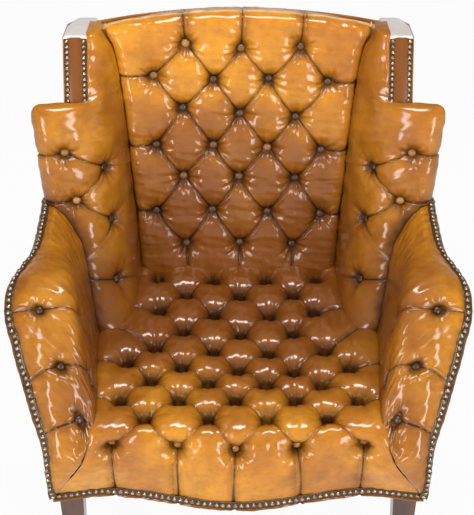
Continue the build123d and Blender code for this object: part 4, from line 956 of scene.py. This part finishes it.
# Wings: sections from the back seam round the ear to the outside, by height along the back
WING_ROWS = (
    (-30, ((-195, 10), (-196, 70), (-198, 118), (-205, 170),
           (-226, 201), (-266, 208), (-296, 175), (-312, 60))),
    (-8, ((-196, 10), (-197, 70), (-200, 117), (-208, 167),
           (-230, 197), (-270, 206), (-297, 172), (-312, 60))),
    (20, ((-198, 11), (-200, 66), (-206, 117), (-222, 162),
           (-250, 186), (-284, 189), (-303, 155), (-314, 56))),
    (60, ((-200, 12), (-204, 63), (-215, 114), (-243, 152),
           (-276, 172), (-300, 167), (-308, 140), (-316, 50))),
    (130, ((-204, 12), (-214, 60), (-234, 105), (-270, 136),
           (-312, 146), (-334, 138), (-334, 118), (-318, 46))),
    (168, ((-207, 12), (-219, 54), (-242, 96), (-286, 127),
           (-338, 133), (-361, 119), (-356, 103), (-320, 42))),
    (199, ((-209, 12), (-221, 52), (-246, 92), (-292, 121),
           (-344, 127), (-368, 113), (-362, 98), (-321, 40))),
    (300, ((-215, 12), (-228, 48), (-254, 86), (-302, 118),
           (-354, 127), (-376, 113), (-369, 98), (-321, 40))),
    (360, ((-220, 12), (-233, 46), (-259, 83), (-306, 116),
           (-356, 126), (-379, 113), (-373, 98), (-321, 42))),
    (374, ((-221, 12), (-234, 45), (-260, 81), (-307, 114),
           (-358, 123, 376), (-381, 111, 378), (-376, 98), (-321, 42))),
    (386, ((-222, 12), (-235, 44), (-260, 80), (-307, 111),
           (-358, 119, 389), (-381, 108, 391), (-376, 97, 388), (-322, 43, 384))),
    (395, ((-223, 12), (-236, 43), (-260, 78), (-307, 108, 396),
           (-357, 113, 399), (-377, 103, 401), (-372, 94, 397), (-322, 45, 384))),
    (400, ((-223, 12), (-236, 43), (-259, 76), (-305, 103, 401),
           (-352, 106, 405), (-368, 98, 405), (-364, 91, 399), (-322, 48, 380))),
    (404, ((-224, 12), (-236, 42), (-258, 74), (-300, 95, 404),
           (-338, 97, 407), (-350, 90, 403), (-348, 85, 394), (-321, 53, 375))),
    (408, ((-224, 12), (-236, 41), (-256, 73), (-291, 88, 405),
           (-312, 88, 402), (-322, 83, 393), (-323, 78, 384), (-318, 60, 368))),
    (412, ((-225, 12), (-237, 40), (-255, 71), (-282, 81, 408),
           (-288, 81, 394), (-290, 80, 381), (-291, 78, 372), (-291, 70, 362))),
    (426, ((-226, 12), (-238, 39), (-256, 66), (-277, 77),
           (-283, 77, 424), (-286, 76, 418), (-287, 74, 412), (-288, 68, 404))),
    (440, ((-228, 12), (-239, 37), (-256, 60), (-275, 71), (-281, 71), (-284, 70), (-285, 68), (-286, 62))),
    (484, ((-236, 12), (-245, 33), (-258, 50), (-272, 56), (-278, 56), (-281, 55), (-282, 53), (-283, 47))),
    (512, ((-250, 14), (-255, 31), (-262, 43), (-271, 48), (-276, 48), (-279, 47), (-280, 45), (-281, 39))),
    (521, ((-254, 12), (-258, 26), (-263, 36), (-271, 40), (-276, 40), (-279, 39), (-280, 37), (-281, 33))),
    (525, ((-256, 4), (-259, 14), (-264, 21), (-270, 24), (-275, 24), (-278, 23), (-279, 21), (-280, 19))),
    (526, ((-258, -24), (-260, -22), (-264, -20), (-270, -18),
           (-275, -18), (-278, -18), (-279, -19), (-280, -20))),
)
WING_FRESH = ((0, 0.4), (1, 0.1), (2, 1.0), (3, 1.0), (4, 1.0))
WING_BUTTONS = ((-323, 312, 122), (-307, 214, 121), (-250, 268, 80), (-237, 163, 85), (-232, 55, 128))


def gap_between(places, others):
    """Distance from each place to the nearest of the others."""
    tree = kdtree.KDTree(len(others))
    for number, spot in enumerate(others):
        tree.insert(spot, number)
    tree.balance()
    return np.array([tree.find(spot)[2] for spot in places.reshape(-1, 3)]).reshape(places.shape[:-1])


def make_wings(arm_skin):
    """Both wing pads, with painted shadow where they meet the arms."""
    heights = [level for level, _ in WING_ROWS]
    sections = np.array([
        flowing([(spot[0], spot[2] if len(spot) > 2 else level, spot[1]) for spot in line], 110)
        for level, line in WING_ROWS
    ])
    fine = np.concatenate([
        np.arange(-30, 380, GRID), np.linspace(380, 414, 40),
        np.arange(416, 512, GRID), np.linspace(512, 526, 12),
    ])
    local = easy_curve(heights, sections, fine)
    grid = on_back(local[:, :, 0], local[:, :, 1], local[:, :, 2])
    across = run_across(grid)
    along = fine[:, None] + 0 * across
    places = [on_back(np.array(float(x)), t, n) for x, t, n in WING_BUTTONS]
    pairs = [
        (0, 2), (2, 1), (1, 3), (0, (236.0, 312.0)), (1, (222.0, 214.0)), (2, (52.0, 262.0, 0)),
        (3, (52.0, 140.0, 0)), (4, (60.0, 30.0, 0)), (3, (188.0, 112.0, 0)), (4, (190.0, 74.0)),
        (4, (158.0, 8.0, 0)),
    ]
    calm = np.clip((405 - along) / 60, 0, 1)
    shaped, marks, seats = buttoned(
        grid, across, along, places, pairs, 8.0 * calm, 30.0, 10.0, pinch=17.0, crease=2.0, shallow=0.65,
        crimp=1.3, seed=33, out=-1.0, basin=2.5, loose=0.22,
    )
    marks["wear_and_shade"] = np.clip(0.85 - 0.55 * along / 400 + 0.15 * np.clip((120 - across) / 60, 0, 1), 0.05, 1)
    # painted shadow: a dark line along the seam with the arm and darker leather for about 28 mm beside it
    gap = gap_between(shaped, arm_skin)
    marks["fold"] = np.minimum(marks["fold"], 0.6 * gap)
    marks["press"] = np.minimum(marks["press"], 11 + 0.55 * gap)
    for side, mirror in SIDES:
        piece = shell(f"wing_pad_cover_{side}", shaped, marks, mirror=mirror, behind=tucked(12.0))
        finish(piece, hide, "tan_leather", f"wing_pad_{side}")
        buttons = button_set(f"wing_button_set_{side}", seats, mirror, WING_FRESH)
        finish(buttons, button_hide, "button_leather", f"wing_buttons_{side}")


# Raked strips on the front edges of the wing boards, with a nailed edge on each side, and the covered tops,
# painted pale as a highlight
STRIP_LOW, STRIP_WIDE = 392.0, 42.0
WING_TOP_RISE = knots((-8.0, 3.0, 5.5, 6.0, 6.0, 6.0, 5.5, 3.0, -8.0))
WING_TOP_ACROSS = knots((0.0, 0.02, 0.07, 0.2, 0.5, 0.8, 0.93, 0.98, 1.0))
WING_TOP_OUT = knots((49.0, 48.6, 47, 43, 20, -10, -40, -58, -62, -64, -64.5))
WING_TOP_FALL = knots((-5, -2, -0.5, 0, 0, 0, 0, 0, -0.6, -3, -10))


def band_out(along):
    """How far the front edge of the wing board stands out of the back."""
    return 85 - 41 * (along - STRIP_LOW) / 124


def make_wing_trim(nails, bands):
    """Strips and tops of the wings, the tops in a pale leather that is a painted highlight. Adds the nailed
    lines of the strips to the nails and bands.
    """
    along = np.linspace(374, 517, 58)
    columns = np.linspace(0, 1, 19)
    x = -280 - STRIP_WIDE * columns
    out = band_out(along)[:, None] + 2.5 + 3.0 * np.sin(np.pi * columns) ** 0.7
    strip = on_back(x + 0 * along[:, None], along[:, None] + 0 * x, out)
    wide = np.clip(np.minimum(columns, 1 - columns) * STRIP_WIDE - 7.5, 0, 30)
    strip_marks = plain_marks(out, 0.9, np.abs(wide)[None, :] + 1.0)
    inner = -279 + 10 * (49.0 - WING_TOP_OUT) / 113.5
    outer = -323.5 + 18 * np.clip((-28 - WING_TOP_OUT) / 34, 0, 1)
    across = inner[:, None] + (outer - inner)[:, None] * WING_TOP_ACROSS
    level = BOARD_TOP + WING_TOP_RISE + WING_TOP_FALL[:, None]
    top = on_back(across, level, WING_TOP_OUT[:, None] + 0 * WING_TOP_ACROSS)
    for side, mirror in SIDES:
        piece = shell(f"wing_strip_{side}", strip, strip_marks, mirror=mirror)
        finish(piece, hide, "tan_leather")
    lean = unit(on_back(np.array(0.0), 0.33, 1.0) - on_back(np.array(0.0), 0.0, 0.0))
    t = np.linspace(STRIP_LOW, BOARD_TOP, 30)
    normal = np.tile(lean, (len(t), 1))
    for x in (-285.5, -316.5):
        line = on_back(x + 0 * t, t, band_out(t) + 3.2)
        nails.append((line + normal * 0.9, normal, STRIP_NAIL_PITCH))
        bands.append((line, normal, STRIP_BAND_WIDTH))
    for side, mirror in SIDES:
        piece = shell(f"wing_top_{side}", top, plain_marks(level + 0 * across, 0.25), mirror=mirror)
        finish(piece, painted_highlight_hide, "tan_leather")


# Outside panels
def panel(name, grid, marks, node, mirror=1.0):
    """A leather panel with a wall of its own."""
    piece = shell(name, grid, marks, closed=False, mirror=mirror)
    thicken(piece, PANEL_THICK)
    finish(piece, hide, "tan_leather", node)


def make_outside_arms(arm_edge):
    """Panels from the nailed edge of each arm down to the seat rail, and on to the back post."""
    rear = knots(((-352, 192, 636), (-325, 246, 636), (-308, 278, 636)))
    rim = flowing(np.vstack([arm_edge[:: max(1, len(arm_edge) // 60)], rear]), 240)
    share = np.clip((rim[:, 1] + 329) / 545, 0, 1)
    depth = np.minimum(rim[:, 1], 232) - 40 * np.clip((rim[:, 1] - 180) / 95, 0, 1) * 0.4
    foot = np.stack([-346 + 35 * share, depth, 0 * share + LEG_TOP + 1], axis=1)
    drop = np.linspace(0, 1, 60)
    tall = (rim[:, 2] - LEG_TOP)[:, None]
    grid = rim[:, None] * (1 - drop[None, :, None]) + foot[:, None] * drop[None, :, None]
    grid[:, :, 0] += np.sin(np.pi * drop) * 6 * np.clip(tall / 200, 0, 1) + 1.5
    grid[:, :, 0] += 0.7 * np.sin(grid[:, :, 1] / 37 + drop * 3) * np.sin(np.pi * drop)
    marks = plain_marks(grid[:, :, 0], 0.3, np.minimum(FAR, 2.5 + drop * tall))
    for side, mirror in SIDES:
        panel(f"outside_arm_cover_{side}", grid, marks, f"outside_arm_{side}", mirror)


def make_outside_wings():
    """Panels on the outer faces of the wing boards."""
    along = np.linspace(150, 517, 130)[:, None]
    columns = np.linspace(0, 1, 56)
    front = np.where(along < STRIP_LOW, 62.0, band_out(along) + 4.0)
    out = FRAME_REAR - 2 + (front - FRAME_REAR + 2) * columns
    bulge = 2.4 * np.sin(np.pi * columns) ** 0.5 * np.sin(np.pi * np.clip((along - 150) / 367, 0, 1)) ** 0.5
    turned_in = 17 * np.clip((-28 - out) / 36, 0, 1)
    grid = on_back(-BOARD_OUT - 2.5 - bulge + turned_in, along + 0 * columns, out)
    for side, mirror in SIDES:
        panel(f"outside_wing_cover_{side}", grid, plain_marks(out, 0.35), f"outside_wing_{side}", mirror)


def make_outside_back():
    """Panel over the whole back, straight below and leaning with the back above."""
    columns = np.linspace(-1, 1, 180)
    top = np.maximum(504 + 34 * (1 - columns**2), 512)
    low = -108.0
    lift = np.linspace(0, 1, 200)[:, None]
    along = low + lift * (top - low)
    wide = 304 + 2 * np.clip((along - 190) / 60, 0, 1)
    middle = np.sin(np.pi * lift)
    crown = 5 * (1 - columns**2) ** 0.6 * middle**0.5
    slack = 0.8 * np.sin(columns * 9 + lift * 5) * middle + 0.5 * np.sin(columns * 23 - lift * 8) * middle
    grid = on_back(columns * wide, along, FRAME_REAR - 4 - crown - slack)
    y, z = grid[:, :, 1], grid[:, :, 2]
    upright = 219 + 2 * crown * np.clip((372 - z) / 72, 0, 1)
    grid[:, :, 1] = np.where(z < 398, np.maximum(y, upright), y)
    panel("outside_back_cover", grid, plain_marks(crown, 0.35), "outside_back")


# Upholsterer's cloths inside the frame
WEB_EDGES = (-25, -12, 0, 12, 25)
WEB_STEPS, WEB_WAVE, WEB_SPACING = 60, 1.7, 92.0
WEB_THICK, CLOTH_THICK = 1.6, 1.4


def tacked_cloth(name, low, high, place, material, slot, node, sag):
    """A thin cloth tacked down at its edges, sagging a little between them."""
    columns = np.linspace(0, 1, 40)
    rows = np.linspace(0, 1, 40)[:, None]
    a = low[0] + (high[0] - low[0]) * columns + 0 * rows
    b = low[1] + (high[1] - low[1]) * rows + 0 * columns
    dip = sag * np.sin(np.pi * columns) ** 0.6 * np.sin(np.pi * rows) ** 0.6
    piece = shell(name, place(a, b, dip), closed=False)
    thicken(piece, CLOTH_THICK)
    finish(piece, material, slot, node)


def web_set(name, place, upright, level, lines, node):
    """Interlaced jute webs: upright ones between two ends, and level ones that cross them in turn."""
    webs = [(True, *upright, line, 0.0) for line in lines[0]]
    webs += [(False, *level, line, 3.14159) for line in lines[1]]
    places, faces = [], []
    wide = len(WEB_EDGES)
    for lengthwise, start, end, centre, phase in webs:
        base = len(places)
        for k in range(WEB_STEPS + 1):
            run = start + (end - start) * k / WEB_STEPS
            wave = WEB_WAVE * math.cos(math.pi * run / WEB_SPACING + phase)
            for side in WEB_EDGES:
                spot = (centre + side, run) if lengthwise else (run, centre + side)
                places.append(place(*spot, wave))
        index = np.arange(base, len(places)).reshape(-1, wide)
        corners = [index[:-1, :-1], index[:-1, 1:], index[1:, 1:], index[1:, :-1]]
        faces += np.stack(corners, axis=-1).reshape(-1, 4).tolist()
    piece = loose_set(name, places, faces)
    thicken(piece, WEB_THICK)
    finish(piece, jute, "jute_webbing", node)


def level_place(z):
    """Places on a level sheet."""
    return lambda x, y, dip: np.stack([x + 0 * y, y + 0 * x, z - dip + 0 * x + 0 * y], axis=-1)


def back_place(out):
    """Places on a sheet that leans with the back."""
    return lambda x, t, dip: on_back(x, t, out - dip)


side_nails, side_bands = [], []
make_seat()
make_back()
arm_band, arm_out, arm_rim, arm_skin = make_arms()
make_wings(arm_skin)
make_wing_trim(side_nails, side_bands)
make_outside_arms(arm_rim)
make_outside_wings()
make_outside_back()

# Nailed edges: up each arm, along the front, and on both edges of the raked strips
side_bands.append((arm_band + arm_out * 0.2, arm_out, BAND_WIDTH))
side_nails.append((arm_band + arm_out * 1.2, arm_out, NAIL_PITCH))
front_x = np.linspace(-334, 334, 180)
front_row = np.stack([front_x, front_line(front_x) - 2.6, 0 * front_x + 308.5], axis=1)
slope = np.gradient(front_row[:, 1], front_x)
front_out = unit(np.stack([slope, -np.ones_like(slope), 0.1 + 0 * slope], axis=1))
for side, mirror in SIDES:
    heads = [nail for line, normal, pitch in side_nails for nail in nail_row(line, normal, pitch)]
    finish(nail_set(f"nails_{side}", heads, mirror), brass, "brass_nails")
    for number, (line, normal, width) in enumerate(side_bands):
        finish(ribbon(f"nail_band_{side}_{number}", line, normal, width, mirror), band_hide, "band_leather")
finish(nail_set("nails_front", nail_row(front_row + front_out, front_out)), brass, "brass_nails")
finish(ribbon("nail_band_front", front_row, front_out, BAND_WIDTH), band_hide, "band_leather")

# Cloths and webs
base, springs, rear = level_place(294.0), level_place(401.0), back_place(-29.0)
tacked_cloth("dust_cloth", (-300, -300), (300, 214), base, cambric, "dust_cloth", "dust_cover", 5.0)
tacked_cloth("spring_cover", (-255, -262), (255, 138), springs, sacking, "hessian", "spring_hessian", -1.5)
tacked_cloth("back_cover", (-263, 74), (263, 436), rear, sacking, "hessian", "back_hessian", 1.0)
upright = (-184, -92, 0, 92, 184)
seat_lines, back_lines = (upright, (-193, -101, -9, 83)), (upright, (117, 209, 301, 393))
web_set("seat_webs", level_place(298.0), (-285, 205), (-270, 270), seat_lines, "seat_webbing")
web_set("back_webs", back_place(-33.0), (74, 436), (-263, 263), back_lines, "back_webbing")

# Finishes of the solids that stay
for material, names in (
    (mahogany, ("front_leg_left", "front_leg_right", "back_post_left", "back_post_right")),
    (wire, ("seat_springs", "block_screws")),
    (beech, (
        "arm_post_left", "arm_post_right", "arm_rail_left", "arm_rail_right", "arm_stuffing_rail_left",
        "arm_stuffing_rail_right", "corner_blocks", "crest_rail", "front_seat_rail", "lower_back_rail",
        "rear_seat_rail", "side_seat_rail_left", "side_seat_rail_right", "wing_board_left",
        "wing_board_right", "rail_dowels",
    )),
):
    for name in names:
        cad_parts[name].data.materials.clear()
        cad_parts[name].data.materials.append(material)


# Studio
def pale(name, level):
    """Plain pale backdrop that the camera sees as white and that still takes the shadow."""
    material, tree = new_tree(name)
    path = put(tree, "ShaderNodeLightPath")
    seen = maths(tree, "MAXIMUM", path.outputs["Is Camera Ray"], path.outputs["Is Transmission Ray"])
    seen = maths(tree, "MAXIMUM", seen, path.outputs["Is Glossy Ray"])
    paint = put(tree, "ShaderNodeBsdfDiffuse", {"Color": (0.86, 0.86, 0.85, 1)})
    glow = put(tree, "ShaderNodeEmission", {"Color": (1, 1, 1, 1), "Strength": 1.0})
    share = maths(tree, "MULTIPLY", seen, level)
    both = put(tree, "ShaderNodeMixShader", {0: share, 1: paint.outputs["BSDF"], 2: glow.outputs["Emission"]})
    put(tree, "ShaderNodeOutputMaterial", {"Surface": both.outputs["Shader"]})
    return material


bpy.ops.mesh.primitive_plane_add(size=14.0, location=(0, 0, 0))
floor = bpy.context.object
floor.name = "studio_floor"
floor.data.materials.append(pale("studio_floor_paint", 0.95))

world = bpy.data.worlds.new("studio")
bpy.context.scene.world = world
world.use_nodes = True
tree = world.node_tree
tree.nodes.clear()
sky = put(tree, "ShaderNodeSeparateXYZ", {"Vector": put(tree, "ShaderNodeTexCoord").outputs["Generated"]})
shade = ramp(tree, sky.outputs["Z"], 0.0, 0.3, 0.6, 0.16)
fill = put(tree, "ShaderNodeBackground", {"Color": (0.98, 0.99, 1, 1), "Strength": shade})
put(tree, "ShaderNodeOutputWorld", {"Surface": fill.outputs["Background"]})


def soft_box(name, place, aim, size, power):
    """A large soft lamp, turned towards a place."""
    lamp = bpy.data.lights.new(name, "AREA")
    lamp.shape = "RECTANGLE"
    lamp.size, lamp.size_y = size
    lamp.energy = power
    box = placed(name, lamp)
    box.location = place
    way = [a - b for a, b in zip(aim, place)]
    flat = math.hypot(way[0], way[1])
    box.rotation_euler = (math.atan2(flat, -way[2]), 0, math.atan2(way[1], way[0]) - math.pi / 2)


for name, x in (("left_box", -1.45), ("right_box", 1.45)):
    soft_box(name, (x, -2.6, 1.25), (0, -0.05, 0.7), (0.62, 1.9), 50)
soft_box("top_box", (0, -0.5, 2.9), (0, 0, 0.5), (1.2, 0.6), 57)

# Camera at the photo's angle: its focal length and shift in the photo's pixels, over the photo's height
FOCUS, SHIFT, TALL, SENSOR = 1273.0, -1.3, 515.0, 36.0
lens = bpy.data.cameras.new("photo_camera")
lens.sensor_width = SENSOR
lens.lens = FOCUS / TALL * SENSOR
lens.shift_x = SHIFT / TALL
lens.clip_end = 50.0
camera = placed("photo_camera", lens)
camera.location = (0.0, -1.789, 2.181)
camera.rotation_euler = (math.radians(48.5), 0, 0)
bpy.context.scene.camera = camera
bpy.context.scene.view_settings.view_transform = "Standard"
